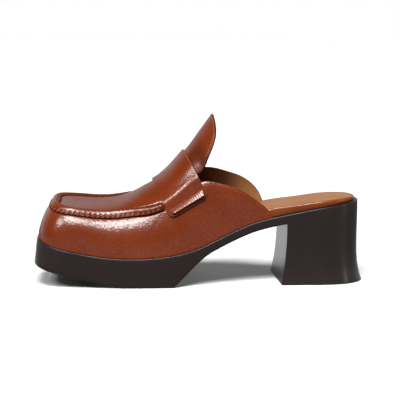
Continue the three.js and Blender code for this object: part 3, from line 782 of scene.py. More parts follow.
def calf(name, dark, light):
    """Polished calf leather, drum dyed and waxed: a fine pebbled grain that breaks up its broad highlights,
    with the dye a little deeper in places, and with painted shade, darker and duller, where its shade
    attribute says so."""
    material, shader = new_material(name, 1.46, CALF_ROUGHNESS, 0.13, CALF_COAT, 0.19)
    shader.inputs["Coat IOR"].default_value = 1.6
    shade = shade_of(material)
    dye = ranged(material, (noise(material, 34, 3.0, 0.55), "Fac"), 0.32, 0.68)
    colour = mixed(material, dye, linear(dark), linear(light))
    mottle = (noise(material, 1.3, 1.0), "Fac")
    tone = scaled(material, colour, ranged(material, mottle, 0.3, 0.7, 0.9, 1.1))
    # Painted shade: the colour darkens down to 0.16 of itself where the shade attribute is 1
    painted_shade_tone = scaled(material, tone, ranged(material, shade, to_min=1.0, to_max=0.16))
    place = add_node(material, "ShaderNodeTexCoord")
    pebbles = add_node(material, "ShaderNodeTexVoronoi", {
        "Vector": (place, "Object"), "Scale": 1 / (GRAIN_SIZE * MM), "Randomness": 1.0}, feature="SMOOTH_F1")
    grain = bumped(material, (pebbles, "Distance"), GRAIN_DEPTH)
    soft = bumped(material, (noise(material, 16, 1.0), "Fac"), 0.04, grain)
    wax = ranged(material, (noise(material, 1.7 * GRAIN_SIZE, 1.5), "Fac"),
                 to_min=CALF_ROUGHNESS - 0.05, to_max=CALF_ROUGHNESS + 0.09)
    dull = ranged(material, shade, to_min=wax, to_max=0.7)
    film = ranged(material, shade, from_max=0.7, to_min=CALF_COAT, to_max=0.0)
    speck = ranged(material, mottle, 0.34, 0.66, 0.4, 1.15)
    plug(material, shader, Base_Color=painted_shade_tone, Normal=soft, Coat_Normal=soft, Roughness=dull,
         Coat_Weight=calculated(material, "MULTIPLY", film, speck))
    return material


def plain_leather(name, dark, light, roughness, shade_to=None):
    """Vegetable-tanned leather without a finish, as in linings, socks and cut edges: matt and even, with tiny
    pores, and with painted shade, darker towards shade_to, where its shade attribute says so."""
    material, shader = new_material(name, 1.45, roughness, 0.3)
    tan = ranged(material, (noise(material, 12, 4.0, 0.6), "Fac"), 0.3, 0.7)
    colour = mixed(material, tan, linear(dark), linear(light))
    painted_shade_colour = mixed(material, shade_of(material), colour, linear(dark if shade_to is None else shade_to))
    pores = bumped(material, (noise(material, 0.7, 3.0), "Fac"), 0.03)
    plug(material, shader, Base_Color=painted_shade_colour, Normal=pores)
    return material


def moulded_sole(name):
    """Moulded rubber, very dark brown: an even satin with a faint cloudiness in its gloss."""
    material, shader = new_material(name, 1.5, 0.36, 0.2, 0.32, 0.24)
    cloud = (noise(material, 18, 3.0), "Fac")
    fine = bumped(material, (noise(material, 0.5), "Fac"), 0.008)
    plug(material, shader, Base_Color=mixed(material, cloud, linear(0x231B1A), linear(0x2A2220)),
         Roughness=ranged(material, cloud, to_min=0.32, to_max=0.42), Normal=fine)
    return material


def waxed_thread(name, colour):
    """Bonded thread, twisted and waxed: slightly lighter than the leather it sinks into."""
    material, shader = new_material(name, 1.5, 0.6, 0.25)
    twist = ranged(material, (noise(material, 0.4), "Fac"), to_min=0.8, to_max=1.15)
    plug(material, shader, Base_Color=scaled(material, linear(colour)[:3], twist))
    return material


# The vamp, strap and tongue: reddish brown calf that shines softly over every curve
CALF = calf("polished calf leather", 0x69270A, 0x742F11)
# The strap's cut edge: inked, matt, lighter than the face
CALF_EDGE = plain_leather("cut and inked leather edge", 0x8A4A25, 0xB87442, 0.5)
# The inside of the vamp: tan and dry, with a painted shadow, almost black, near the throat under the tongue
# and strap
LINING = plain_leather("tan lining leather", 0x8F5F38, 0xA2703F, 0.62, shade_to=0x4A2004)
# The footbed's top: tan, smooth and a little silky
SOCK = plain_leather("tan sock leather", 0x986742, 0xA6734D, 0.5)
# The footbed's wrapped rim: the same calf, a shade lighter
RIM = calf("wrapped rim leather", 0x7B3811, 0x88451A)
# Sole and heel: one very dark brown that shows its form only in satin reflections
SOLE = moulded_sole("moulded sole rubber")
# The thread of the apron and the toplines, close to the leather's own colour
THREAD_BROWN = waxed_thread("waxed brown thread", 0x96491F)
# The brighter thread of the tongue's edge and the strap's beads
THREAD_ORANGE = waxed_thread("waxed orange thread", 0xB5622F)
# The tongue's cut edge: inked nearly black
TONGUE_EDGE = plain_leather("cut and blackened leather edge", 0x3A1A0C, 0x4A2412, 0.5)


def keep(obj, node):
    """The piece rides with the shoe and stands for a node of the part."""
    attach(obj, "root")
    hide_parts(node)
    return obj


def add_on(obj):
    """The piece rides with the shoe and stands for no node."""
    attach(obj, "root")
    return obj


def seam_lift(x):
    """How far the seam sits inwards of its line at an X: more in front, where the toe's wall leans back."""
    return SEAM_LIFT * (1 - float(smoothstep(x, SEAM_LIFT_TO, SEAM_LIFT_END)))


def seam_narrow(x):
    """The width of the seam's slope on the apron at an X, as a share of that in front."""
    return 1 - (1 - SEAM_NARROWEST) * smoothstep(x, station(SEAM_NARROWS_AT), THROAT_X)


def pucker_turn(run, place):
    """The puckers' phase. It slants across the seam and wanders along it, as in hand sewing."""
    wander = PUCKER_WANDER * np.sin(run / PUCKER_WANDERS_OVER)
    return 2 * math.pi * run / PUCKER_PITCH + PUCKER_SLANT * min(place, 1.0) + wander


def seam_at(x_line, off, reach, run):
    """How far the apron's seam stands out at a place, how far it slips down the wall, and its painted shade.
    """
    off -= seam_lift(x_line) * (1 - float(smoothstep(off, SEAM_LIFT_FADES, SEAM_LIFT_ENDS)))
    place = off / seam_narrow(x_line) if off > 0 else off
    fade = np.clip((strap_front - SEAM_STOP - reach) / SEAM_FADE, 0, 1)
    rise = float(SEAM_RISE(place)) * SEAM_HEIGHT
    below = np.clip(SEAM_CREST - place, 0, SEAM_CREST - SEAM_BROW)
    rise -= SEAM_LEAN(x_line) * below * np.clip(rise / SEAM_HEIGHT, 0, 1)
    pucker = float(SEAM_PUCKER(place))
    turn = pucker_turn(run, place)
    wave = math.cos(turn)
    rise += pucker * PUCKER_DEPTH * (wave - PUCKER_SHARPNESS * math.cos(2 * turn))
    slip = float(SEAM_SLIP(place)) * (1 + SLIP_WAVES * wave)
    # Painted shade in the grooves, on the seam's face and in the puckers' dips
    shade = max(float(SEAM_SHADE(place)), DIP_SHADE * pucker * max(0.0, -wave))
    return rise * fade, slip * fade, shade * fade


SEAM_RISE, SEAM_SLIP, SEAM_PUCKER, SEAM_SHADE = [
    line_through(SEAM_SHAPE, "off", column) for column in ("rise", "slip", "pucker", "shade")]
SEAM_LEAN = line_through(SEAM_LEANS, "x", "lean")


def vamp_ribs():
    """The upper's section lines from the rear of the outer quarter round the toe to the inner one."""
    quarter_count = int((station(QUARTER_END_AT) - THROAT_X) / GRID_STEP)
    vamp_count = int((THROAT_X - TOE_CENTRE_X) / (0.9 * GRID_STEP))
    quarter_xs = np.linspace(station(QUARTER_END_AT), THROAT_X, quarter_count)
    vamp_xs = np.linspace(THROAT_X, TOE_CENTRE_X, vamp_count)
    angles = even_toe_angles(64)[::-1]
    sides = {}
    for side in (LATERAL, MEDIAL):
        sides[side] = [(side_rib(side, x), x > THROAT_X + 1e-6) for x in quarter_xs[:-1]]
        sides[side] += [(side_rib(side, x), False) for x in vamp_xs]
        sides[side] += [(toe_rib(side, angle), False) for angle in angles[1:]]
    return sides[LATERAL] + sides[MEDIAL][-2::-1]


# Distances from the line at which the seam's section is sampled
SEAM_OFFS = np.array([-5.6, -5.2, -4.8, -4.5, -4.2, -4.0, -3.8, -3.65, -3.5, -3.38, -3.25, -3.02, -2.8, -2.55,
                      -2.3, -2.05, -1.8, -1.55, -1.3, -1.1, -0.9, -0.75, -0.6, -0.3, 0.3, 0.8, 1.2, 1.6, 2.0,
                      2.4, 2.9, 3.4, 3.9, 4.4, 4.8, 5.2, 5.5, 5.8, 6.05, 6.3, 6.5, 6.7, 6.9, 7.2, 7.5, 8.0,
                      8.6])


def crease_depth(x, off):
    """How deep the soft creases of the outer wall are at a place: short troughs that cross the vamp below the
    seam, each between two low ridges."""
    depth = 0.0
    for row in CREASES:
        along = (off - row["off"]) / (row["length"] / 2)
        across = (x - row["x"] - row["slope"] * (off - row["off"])) / row["width"]
        depth += row["depth"] * math.exp(-along * along) * (1 - across * across) * math.exp(-across * across)
    return depth


def topline_turn(x):
    """How far the topline's folded edge turns inwards at an X: none at the throat, less again at the rear."""
    rear = smoothstep(x, ROLL_EASES_FROM, ROLL_EASES_TO)
    return smoothstep(x, THROAT_X, THROAT_X + ROLL_STARTS_OVER) * (1 - (1 - ROLL_REAR_SHARE) * rear)


def upper_values(rib, offs, forms, run):
    """The upper's places along a section line, and each one's values for leather_shell."""
    points = rib.at(offs)
    ahead = rib.at(offs + 0.05) - rib.at(offs - 0.05)
    ahead /= np.maximum(np.linalg.norm(ahead, axis=1, keepdims=True), 1e-9)
    x_line, y_line = rib.at([0.0])[0][:2]
    turned = topline_turn(x_line)
    made = []
    for off, direction, form, reach in zip(offs, ahead, forms, points @ strap_normal):
        out, slip, shade = seam_at(x_line, form, reach, run)
        if y_line < 0 and off < SEAM_OFFS[0]:
            out -= crease_depth(x_line, off)
        if x_line > THROAT_X and form <= 0:
            out -= ROLL_DEPTH * math.exp(form / ROLL_REACH) * turned
        made.append((out, UPPER_WALL, -direction * slip, False, shade))
    return points, made


def make_upper():
    """The vamp, its quarters and apron in one wall: calf outside, tan lining inside, a folded topline."""
    ribs = vamp_ribs()
    runs = Rib.run(np.array([rib.at([0.0])[0] for rib, _ in ribs]))
    low_offs = SEAM_OFFS[SEAM_OFFS < 0]
    high_offs = SEAM_OFFS[SEAM_OFFS > 0]
    walls, aprons = [], []
    for (rib, is_open), run in zip(ribs, runs):
        lowest = max(low_offs[0], -0.45 * rib.wall_length)
        below = np.linspace(-rib.wall_length, lowest, 30)[:-1]
        offs = np.concatenate((below, low_offs * lowest / low_offs[0], [-0.02 if is_open else 0.0]))
        forms = np.concatenate((np.full(len(below), SEAM_OFFS[0]), low_offs, [0.0]))
        points, made = upper_values(rib, offs, forms, run)
        made[0] = (*made[0][:3], True, 0.0)
        walls.append((points, made))
        if not is_open:
            narrow = seam_narrow(rib.at([0.0])[0][0])
            above = np.linspace(high_offs[-1] * narrow, rib.apron_length, 24)[1:]
            offs = np.concatenate(([0.0], high_offs * narrow, above))
            aprons.append(upper_values(rib, offs, offs, run))
    sheet = Sheet()
    for rows in (walls, aprons):
        sheet.grid(*map(list, zip(*rows)))
    # The lining gets a painted shadow, full before the first X and gone past the second
    obj = leather_shell("upper_leather", sheet, [CALF, LINING, CALF], 0.4,
                        lambda p: 1 - float(smoothstep(p[0], LINING_SHADOW_FULL_TO, LINING_SHADOW_GONE_FROM)))
    return obj, [rib for rib, _ in ribs], runs


def make_strap():
    """The saddle strap: cut leather laid over the instep, its ends rolled over a cord and whip stitched."""
    beds = {side: StrapBed(side) for side in (LATERAL, MEDIAL)}
    rib = side_rib(LATERAL, STRAP_MIDDLE_X)
    half = rib.apron_length + strap_drop(LATERAL, rib, STRAP_MIDDLE_X)
    bead_middle = BEAD_MARGIN + BEAD_WIDTH / 2
    near = np.linspace(0, bead_middle + BEAD_WIDTH, 40)
    plain = np.linspace(near[-1], half, 70)[1:]
    from_ends = np.concatenate((near, plain))
    columns = [(LATERAL, d) for d in from_ends] + [(MEDIAL, d) for d in from_ends[-2::-1]]
    acrosses = 0.5 - 0.5 * np.cos(np.linspace(0, math.pi, 61))
    acrosses = 0.35 * acrosses + 0.65 * np.linspace(0, 1, 61)
    points, values = [], []
    for across in acrosses:
        row, row_values = [], []
        for side, from_end in columns:
            corner = max(0.0, STRAP_CORNER - from_end) / STRAP_CORNER
            draw = STRAP_CORNER * (1 - math.sqrt(1 - STRAP_CORNER_TURN * corner * corner))
            reach = (strap_rear - draw) * (1 - across) + (strap_front + draw) * across
            place, off = beds[side].at(reach, 1 - from_end / half)
            row.append(place)
            fold_off = FOLD_REAR_OFF + (FOLD_FRONT_OFF - FOLD_REAR_OFF) * across
            fold = FOLD_HEIGHT * math.exp(-((off - fold_off) / FOLD_WIDTH) ** 2)
            out = STRAP_LIFT + STRAP_LEATHER + fold + bead_height(from_end, STRAP_WIDTH * across)
            shade = bead_painted_shade(from_end, STRAP_WIDTH * across)
            row_values.append((out, -STRAP_LIFT, np.zeros(3), False, shade))
        points.append(row)
        values.append(row_values)
    sheet = Sheet()
    sheet.grid(points, values)
    return leather_shell("strap_leather", sheet, [CALF, LINING, CALF_EDGE], 0.25)


def bead_height(from_end, from_rear):
    """The rolled bead at a strap's end: full at its lower edge, sloping up the strap, with a dent at each
    wrap of its thread."""
    across = (from_end - BEAD_MARGIN) / BEAD_WIDTH
    if across <= 0 or across >= 1:
        return 0.0
    if across < BEAD_TOP:
        profile = math.sqrt(1 - (1 - across / BEAD_TOP) ** 2)
    else:
        profile = (1 - (across - BEAD_TOP) / (1 - BEAD_TOP)) ** 0.8
    rear = np.clip((from_rear - 1.2) / BEAD_END, 0, 1)
    front = np.clip((STRAP_WIDTH - 2.0 - from_rear) / BEAD_END, 0, 1)
    ends = math.sqrt(1 - (1 - rear) ** 2) * math.sqrt(1 - (1 - front) ** 2)
    wrap = 1 - BEAD_DENT * (0.5 + 0.5 * math.cos(2 * math.pi * from_rear / BEAD_WRAP))
    return BEAD_HEIGHT * profile * ends * wrap


def bead_painted_shade(from_end, from_rear):
    """Painted shade in the crease that the bead's stitches pull along both of its sides."""
    lower = math.exp(-((from_end - BEAD_MARGIN) / 0.4) ** 2)
    upper_side = math.exp(-((from_end - BEAD_MARGIN - BEAD_WIDTH) / 0.3) ** 2)
    inside = smoothstep(from_rear, 0.6, 1.8) * smoothstep(STRAP_WIDTH - from_rear, 1.2, 2.6)
    return float(max(lower, 0.4 * upper_side) * inside)


def tongue_point(arch, along, across):
    """A place on the tongue: on the instep's arch at its root, on an arc of its own past the strap."""
    root_x = THROAT_X + CLEARANCE
    reach = along * TONGUE_LENGTH
    turn = TONGUE_RISE * smoothstep(along, 0, TONGUE_EASE)
    crest_x = root_x + reach * math.cos(TONGUE_RISE)
    crest = (1 - along) * crest_z(crest_x) + along * (crest_z(root_x) + reach * math.sin(TONGUE_RISE))
    angle = TONGUE_SPREAD * float(tongue_spread(along)) * across
    drop = TONGUE_RADIUS * (1 - math.cos(angle))
    y = TONGUE_RADIUS * math.sin(angle)
    x = crest_x + drop * math.sin(turn)
    free = crest - drop * math.cos(turn)
    past = strap_normal @ np.array((x, 0, free)) - strap_rear
    loose = smoothstep(past, 0, TONGUE_LENGTH * TONGUE_EASE)
    return np.array((x, y, (1 - loose) * arch.at(x, y) + loose * free))


def tongue_root_painted_shade(point):
    """Painted shade and duller gloss low on the tongue's sides, where it bends out of the strap, which
    darkens a highlight there.
    """
    past = strap_normal @ point - strap_rear
    return float(0.5 * (1 - smoothstep(past, 8, 20)) * smoothstep(abs(point[1]), 8, 20))


def make_tongue():
    """The tall tongue: calf outside, tan lining inside, with a cut edge."""
    arch = Arch()
    tip = 0.86 + 0.14 * np.sin(np.linspace(0, math.pi / 2, 26))[1:]
    alongs = np.concatenate((np.linspace(0, 0.86, 60), tip))
    acrosses = np.sin(np.linspace(math.pi / 2, -math.pi / 2, 61))
    acrosses = 0.5 * acrosses + 0.5 * np.linspace(1, -1, 61)
    sheet = Sheet()
    points = [[tongue_point(arch, along, across) for across in acrosses] for along in alongs]
    sheet.grid(points, [[(0.0, TONGUE_THICKNESS, np.zeros(3), False, tongue_root_painted_shade(point)) for point in row]
                        for row in points])
    return leather_shell("tongue_leather", sheet, [CALF, LINING, TONGUE_EDGE], 0.3)


def outline(margin, toe_inset, back_inset):
    """The sole's outline drawn in by a margin: medial and lateral places (x, y) from the back to the toe."""
    places = []
    for angle in np.linspace(0, math.pi / 2, 37):
        out, across = squared(angle, SEAT_SQUARENESS)
        places.append((SEAT_CENTRE_X + (SEAT_DEPTH - back_inset) * out, across, SEAT_CENTRE_X))
    for x in np.linspace(SEAT_CENTRE_X, TOE_CENTRE_X, 150)[1:]:
        places.append((x, 1.0, x))
    for angle in even_toe_angles(44)[::-1][1:]:
        out, across = squared(angle, TOE_SQUARENESS)
        places.append((TOE_CENTRE_X - (TOE_DEPTH - toe_inset) * out, across, TOE_CENTRE_X))
    return {side: [(x, side * (sole_width[side](wide) - margin(x)) * across) for x, across, wide in places]
            for side in (MEDIAL, LATERAL)}


def ring(places, height_at):
    """The outline's places at a height that goes with X, as loft takes them."""
    return tuple([np.array((x, y, float(height_at(x)))) for x, y in places[side]]
                 for side in (MEDIAL, LATERAL))


def quarter_round(radius, steps, rising):
    """(inwards, upwards) steps round a quarter circle at an edge, from the bottom up."""
    angles = np.linspace(0, math.pi / 2, steps)
    if rising:
        return [(radius * (1 - math.cos(a)), -radius * (1 - math.sin(a))) for a in angles]
    return [(radius * (1 - math.sin(a)), radius * (1 - math.cos(a))) for a in angles]


def make_outsole():
    """The moulded platform sole, its waist and seat, with a rounded bottom edge and a small ledge on top."""
    rings = []

    def seat_blend(x):
        return 1 - float(smoothstep(x, BREAST_X - 4, BREAST_X))

    for inwards, up in quarter_round(SOLE_EDGE_ROUND, 6, False):
        places = outline(lambda x, i=inwards: i * seat_blend(x), inwards, 0)
        rings.append(ring(places, lambda x, u=up: sole_under(x) + u * (0.15 + 0.85 * seat_blend(x))))
    for share in np.linspace(0, 1, 8)[1:-1]:
        places = outline(lambda x: 0.0, TOE_RAKE * share, 0)
        low, high = SOLE_EDGE_ROUND, SOLE_TOP_ROUND

        def between(x, s=share):
            return (sole_under(x) + low) * (1 - s) + (sole_top(x) - high) * s

        rings.append(ring(places, between))
    for inwards, up in quarter_round(SOLE_TOP_ROUND, 6, True):
        places = outline(lambda x, i=inwards: i, TOE_RAKE + inwards, inwards)
        rings.append(ring(places, lambda x, u=up: sole_top(x) + u))
    return loft("sole_unit", rings, [SOLE])


def heel_places(down, inset):
    """One level of the heel: the curved back, the sides, a rounded corner and the flat breast."""
    back = float(heel_flare["back"](down)) * HEEL_BACK_FLARE
    side_flare = float(heel_flare["side"](down)) * HEEL_SIDE_FLARE
    front_x = BREAST_X - float(heel_flare["breast"](down)) * BREAST_FLARE + inset
    r = HEEL_EDGE_ROUND
    places = {}
    for side in (MEDIAL, LATERAL):
        row = []
        width_at = (lambda x, s=side: sole_width[s](x) + side_flare - inset)
        for angle in np.linspace(0, math.pi / 2, 37):
            out, across = squared(angle, SEAT_SQUARENESS)
            depth = SEAT_DEPTH + back - inset
            row.append((SEAT_CENTRE_X + depth * out, side * width_at(SEAT_CENTRE_X) * across))
        for x in np.linspace(SEAT_CENTRE_X, front_x + r, 16)[1:]:
            row.append((x, side * width_at(x)))
        for angle in np.linspace(0, math.pi / 2, 8)[1:]:
            row.append((front_x + r - r * math.sin(angle),
                        side * (width_at(front_x) - r + r * math.cos(angle))))
        if side == MEDIAL:
            length = SEAT_CENTRE_X - BREAST_X
            row = [(x - BREAST_SKEW * max(0.0, SEAT_CENTRE_X - x) / length, y) for x, y in row]
        places[side] = row
    middle_x = 0.5 * (places[MEDIAL][-1][0] + places[LATERAL][-1][0])
    for row in places.values():
        edge_x, edge_y = row[-1]
        for share in np.linspace(0, 1, BREAST_STEPS + 1)[1:]:
            row.append((edge_x * (1 - share) + middle_x * share, edge_y * (1 - share)))
    return places


def make_heel():
    """The block heel, moulded in one with the sole's look: flared at the floor, its breast flat."""
    rings = []
    downs = [(1.0, i, u) for i, u in quarter_round(HEEL_FLOOR_ROUND, 5, False)]
    downs += [(down, 0.0, 0.0) for down in np.linspace(0.97, 0, 30)]
    for down, inset, up in downs:
        places = heel_places(down, inset)

        def height_at(x, d=down, u=up):
            return (float(sole_under(min(x, SEAT_BACK_X))) + 0.02) * (1 - d) + u

        rings.append(ring(places, height_at))
    return loft("heel_block", rings, [SOLE])


# The sock's edge on the footbed: (inwards past the rim's round, height), a groove and then the sock
SOCK_EDGE = [(0.5, 0.02), (0.7, -0.14), (0.95, -0.14), (1.1, 0.05), (1.4, 0.1), (3.0, 0.1)]
SOCK_STARTS = 4


def make_footbed():
    """The footbed: a cushioned board wrapped in calf at its rim, with a tan leather sock on top."""
    side = SOLE_MARGIN + UPPER_WALL + INSOLE_GAP
    levels = [(0.4, 0.0, False), (0.0, 0.5, False)]
    levels += [(inwards, up, True) for inwards, up in quarter_round(RIM_ROUND, 8, True)]
    levels += [(RIM_ROUND + inwards, up, True) for inwards, up in SOCK_EDGE]
    rings = []
    for inwards, up, on_top in levels:
        places = outline(lambda x: side + inwards, side + TOE_RAKE + inwards, side - SOLE_MARGIN + inwards)
        rings.append(ring(places, lambda x: sole_top(x) + CLEARANCE + on_top * insole_rise(x) + up))
    return loft("footbed", rings, [RIM, SOCK], len(rings) - SOCK_STARTS, 14)


upper, upper_ribs, upper_runs = make_upper()
keep(upper, "upper")
strap = keep(make_strap(), "strap")
tongue = keep(make_tongue(), "tongue")
keep(make_outsole(), "outsole")
keep(make_heel(), "heel")
keep(make_footbed(), "insole")


def make_thread_tree():
    """Geometry nodes that lay a stitch on each point, along one of its directions and out along the other."""
    tree = bpy.data.node_groups.new("stitches", "GeometryNodeTree")
    faces = tree.interface
    faces.new_socket("Geometry", in_out="INPUT", socket_type="NodeSocketGeometry")
    for name in ("Length", "Width", "Height", "Spread"):
        faces.new_socket(name, in_out="INPUT", socket_type="NodeSocketFloat")
    faces.new_socket("Thread", in_out="INPUT", socket_type="NodeSocketMaterial")
    faces.new_socket("Geometry", in_out="OUTPUT", socket_type="NodeSocketGeometry")
    given = add_node(tree, "NodeGroupInput")
    along, out = [add_node(tree, "GeometryNodeInputNamedAttribute", {"Name": name}, data_type="FLOAT_VECTOR")
                  for name in ("along", "out")]
    first = add_node(tree, "FunctionNodeAlignRotationToVector", {"Vector": (along, "Attribute")}, axis="X")
    turn = add_node(tree, "FunctionNodeAlignRotationToVector", {
        "Rotation": (first, "Rotation"), "Vector": (out, "Attribute")}, axis="Z", pivot_axis="X")
    size = add_node(tree, "ShaderNodeCombineXYZ", {
        "X": (given, "Length"), "Y": (given, "Width"), "Z": (given, "Height")})
    low, high = [calculated(tree, kind, 1.0, (given, "Spread")) for kind in ("SUBTRACT", "ADD")]
    chance = add_node(tree, "FunctionNodeRandomValue", {
        2: low, 3: high, "Seed": STITCH_SEED}, data_type="FLOAT")
    scale = scaled(tree, (size, "Vector"), (chance, 1))
    bead = add_node(tree, "GeometryNodeMeshUVSphere", {"Segments": 10, "Rings": 7, "Radius": 0.5})
    laid = add_node(tree, "GeometryNodeInstanceOnPoints", {
        "Points": (given, "Geometry"), "Instance": (bead, "Mesh"), "Rotation": (turn, "Rotation"),
        "Scale": scale})
    real = add_node(tree, "GeometryNodeRealizeInstances", {"Geometry": (laid, "Instances")})
    smooth = add_node(tree, "GeometryNodeSetShadeSmooth", {"Geometry": (real, "Geometry")})
    dressed = add_node(tree, "GeometryNodeSetMaterial", {
        "Geometry": (smooth, "Geometry"), "Material": (given, "Thread")})
    add_node(tree, "NodeGroupOutput", {"Geometry": (dressed, "Geometry")})
    return tree


def sew(name, surface, places, length, width, height, material):
    """A row of stitches on a surface. Each place is (point, direction along the stitch) in millimetres."""
    mesh = surface.data
    tree = BVHTree.FromPolygons([v.co for v in mesh.vertices], [p.vertices for p in mesh.polygons])
    points, alongs, outs = [], [], []
    for point, along in places:
        where, normal, _, _ = tree.find_nearest(Vector(point) * MM)
        points.append(where)
        alongs.append(along)
        outs.append(normal)
    row = bpy.data.meshes.new(name)
    row.from_pydata(points, [], [])
    for key, column in (("along", alongs), ("out", outs)):
        attribute = row.attributes.new(key, "FLOAT_VECTOR", "POINT")
        attribute.data.foreach_set("vector", np.asarray(column, np.float32).ravel())
    obj = bpy.data.objects.new(name, row)
    bpy.context.scene.collection.objects.link(obj)
    modifier = obj.modifiers.new("stitches", "NODES")
    modifier.node_group = THREAD_TREE
    wanted = {"Length": length * MM, "Width": width * MM, "Height": height * MM, "Spread": 0.12,
              "Thread": material}
    for item in THREAD_TREE.interface.items_tree:
        if item.in_out == "INPUT" and item.name in wanted:
            modifier[item.identifier] = wanted[item.name]
    bpy.context.view_layer.update()
    graph = bpy.context.evaluated_depsgraph_get()
    made = bpy.data.meshes.new_from_object(obj.evaluated_get(graph))
    obj.modifiers.clear()
    obj.data = made
    return add_on(obj)


THREAD_TREE = make_thread_tree()


def upper_place(run, off):
    """A place on the upper's sheet, by the run along its line and the distance from the line."""
    i = int(np.clip(np.searchsorted(upper_runs, run) - 1, 0, len(upper_runs) - 2))
    share = (run - upper_runs[i]) / (upper_runs[i + 1] - upper_runs[i])
    return upper_ribs[i].at([off])[0] * (1 - share) + upper_ribs[i + 1].at([off])[0] * share


def seam_runs():
    """The runs at which the apron's seam is pulled in by a stitch, from strap to strap round the toe."""
    runs = np.arange(upper_runs[0], upper_runs[-1], 0.05)
    turns = pucker_turn(runs, STITCHED_AT)
    dips = runs[:-1][np.diff(np.floor((turns - math.pi) / (2 * math.pi))) > 0]
    return [run for run in dips if strap_normal @ upper_place(run, 0.0) < strap_front - SEAM_STOP - SEAM_FADE]


def sew_seam():
    """The apron's hand stitches: slanting down the seam's outer face, and short ones in its inner groove."""
    outer, inner = [], []
    for run in seam_runs():
        line = upper_place(run, 0.0)
        lift = seam_lift(line[0])
        top = upper_place(run - WHIP_SLANT, lift - WHIP_TOP)
        foot = upper_place(run + WHIP_SLANT, lift - WHIP_FOOT)
        middle = upper_place(run, lift - WHIP_MIDDLE)
        away = (foot - line) * (1, 1, 0)
        away /= np.linalg.norm(away)
        outer.append((middle + away * 2.0, foot - top))
        narrow = seam_narrow(line[0])
        groove = upper_place(run, GROOVE_OFF * narrow)
        back = upper_place(run, (GROOVE_OFF + 1.4) * narrow)
        inner.append((groove + (0, 0, 0.8), back - groove))
    sew("seam_stitches", upper, outer, WHIP_LENGTH, WHIP_WIDTH, WHIP_HEIGHT, THREAD_BROWN)
    sew("groove_stitches", upper, inner, 1.9, 1.0, 0.7, THREAD_BROWN)


def even_places(points, pitch):
    """Points every pitch along a line, each with the line's direction."""
    points = np.array(points)
    run = Rib.run(points)
    stops = np.arange(pitch / 2, run[-1], pitch)
    behind, at, ahead = [np.stack([np.interp(stops + step, run, points[:, k]) for k in range(3)], 1)
                         for step in (-0.1, 0.0, 0.1)]
    return list(zip(at, ahead - behind))


def sew_edges():
    """Fine machine stitches along the toplines and the tongue's edge, and the wraps of the strap's beads."""
    toplines = []
    for side in (LATERAL, MEDIAL):
        xs = np.linspace(THROAT_X + 4, station(QUARTER_END_AT) - 2.5, 140)
        toplines += even_places([side_rib(side, x).at([-STITCH_INSET])[0] for x in xs], STITCH_PITCH)
    sew("topline_stitches", upper, toplines, STITCH_LENGTH, STITCH_WIDTH, 0.35, THREAD_BROWN)
    arch = Arch()
    edge = []
    for along in np.linspace(0.45, 0.975, 160):
        spread = TONGUE_RADIUS * TONGUE_SPREAD * float(tongue_spread(along))
        edge.append(tongue_point(arch, along, 1 - STITCH_INSET / max(spread, STITCH_INSET)))
    far = [point * (1, -1, 1) for point in edge[::-1]]
    sew("tongue_stitches", tongue, even_places(edge + far, STITCH_PITCH), STITCH_LENGTH, STITCH_WIDTH, 0.3,
        THREAD_ORANGE)
    beads = []
    rib = side_rib(LATERAL, STRAP_MIDDLE_X)
    half = rib.apron_length + strap_drop(LATERAL, rib, STRAP_MIDDLE_X)
    for side in (LATERAL, MEDIAL):
        bed = StrapBed(side)
        for from_rear in np.arange(2.2, STRAP_WIDTH - 2.6, BEAD_WRAP):
            place = bed.at(strap_rear - from_rear, 1 - (BEAD_MARGIN + 0.1) / half)[0]
            lower = bed.at(strap_rear - from_rear - 0.5, 1 - (BEAD_MARGIN - 1.0) / half)[0]
            beads.append((place, lower - place))
    sew("bead_stitches", strap, beads, 1.3, 0.6, 0.5, THREAD_ORANGE)


sew_seam()
sew_edges()


# The camera, fitted to the photograph: its place, its three angles and its focal length in 400ths
CAMERA_PLACE = (-58.07, -1061.94, 197.26)
CAMERA_HEADING = math.radians(-3.17021)
CAMERA_DOWN = math.radians(7.11302)
CAMERA_ROLL = math.radians(0.18713)
CAMERA_FOCAL = 1319.354
FRAME_WIDTH = 400
SENSOR = 36

# The studio, in metres: a soft key high on the camera's side, a smaller light from the toe's side, a narrow
# strip on the right. The photo's floor is cut out to white, so the staged floor is white where it is seen,
# and grey in front where it lights the shoe or is mirrored in it.
FLOOR_REACH = 40
FLOOR_SEEN = 0.92
FLOOR_FRONT = 0.12
# Painted light: for the camera only the floor glows, from none at the toe up to this towards the heel, and
# lightens its cast shadow there
FLOOR_GLOW = 0.09
FLOOR_SIDES = (0.12, 0.25)
FLOOR_TURN = (-0.06, 0.10)
GLOW_RISE = (-0.09, 0.01)
WORLD_FRONT = 0.03
WORLD_BACK = 0.45
WORLD_TURN = (0.0, 0.8)
WORLD_FADE = (0.3, 0.75)
HORIZON_FADE = (0.04, 0.12)
KEY_FROM = (-0.08, -0.57, 0.81)
KEY_ANGLE = math.radians(27)
KEY_POWER = 4.0
SIDE_FROM = (-0.54, -0.55, 0.64)
SIDE_ANGLE = math.radians(15)
SIDE_POWER = 1.4
STRIP_POWER = 0.9
STRIP_PLACE = (1.0, -0.45, 0.2)
STRIP_TARGET = (0.1, 0.0, 0.04)
STRIP_SIZE = (0.05, 0.4)


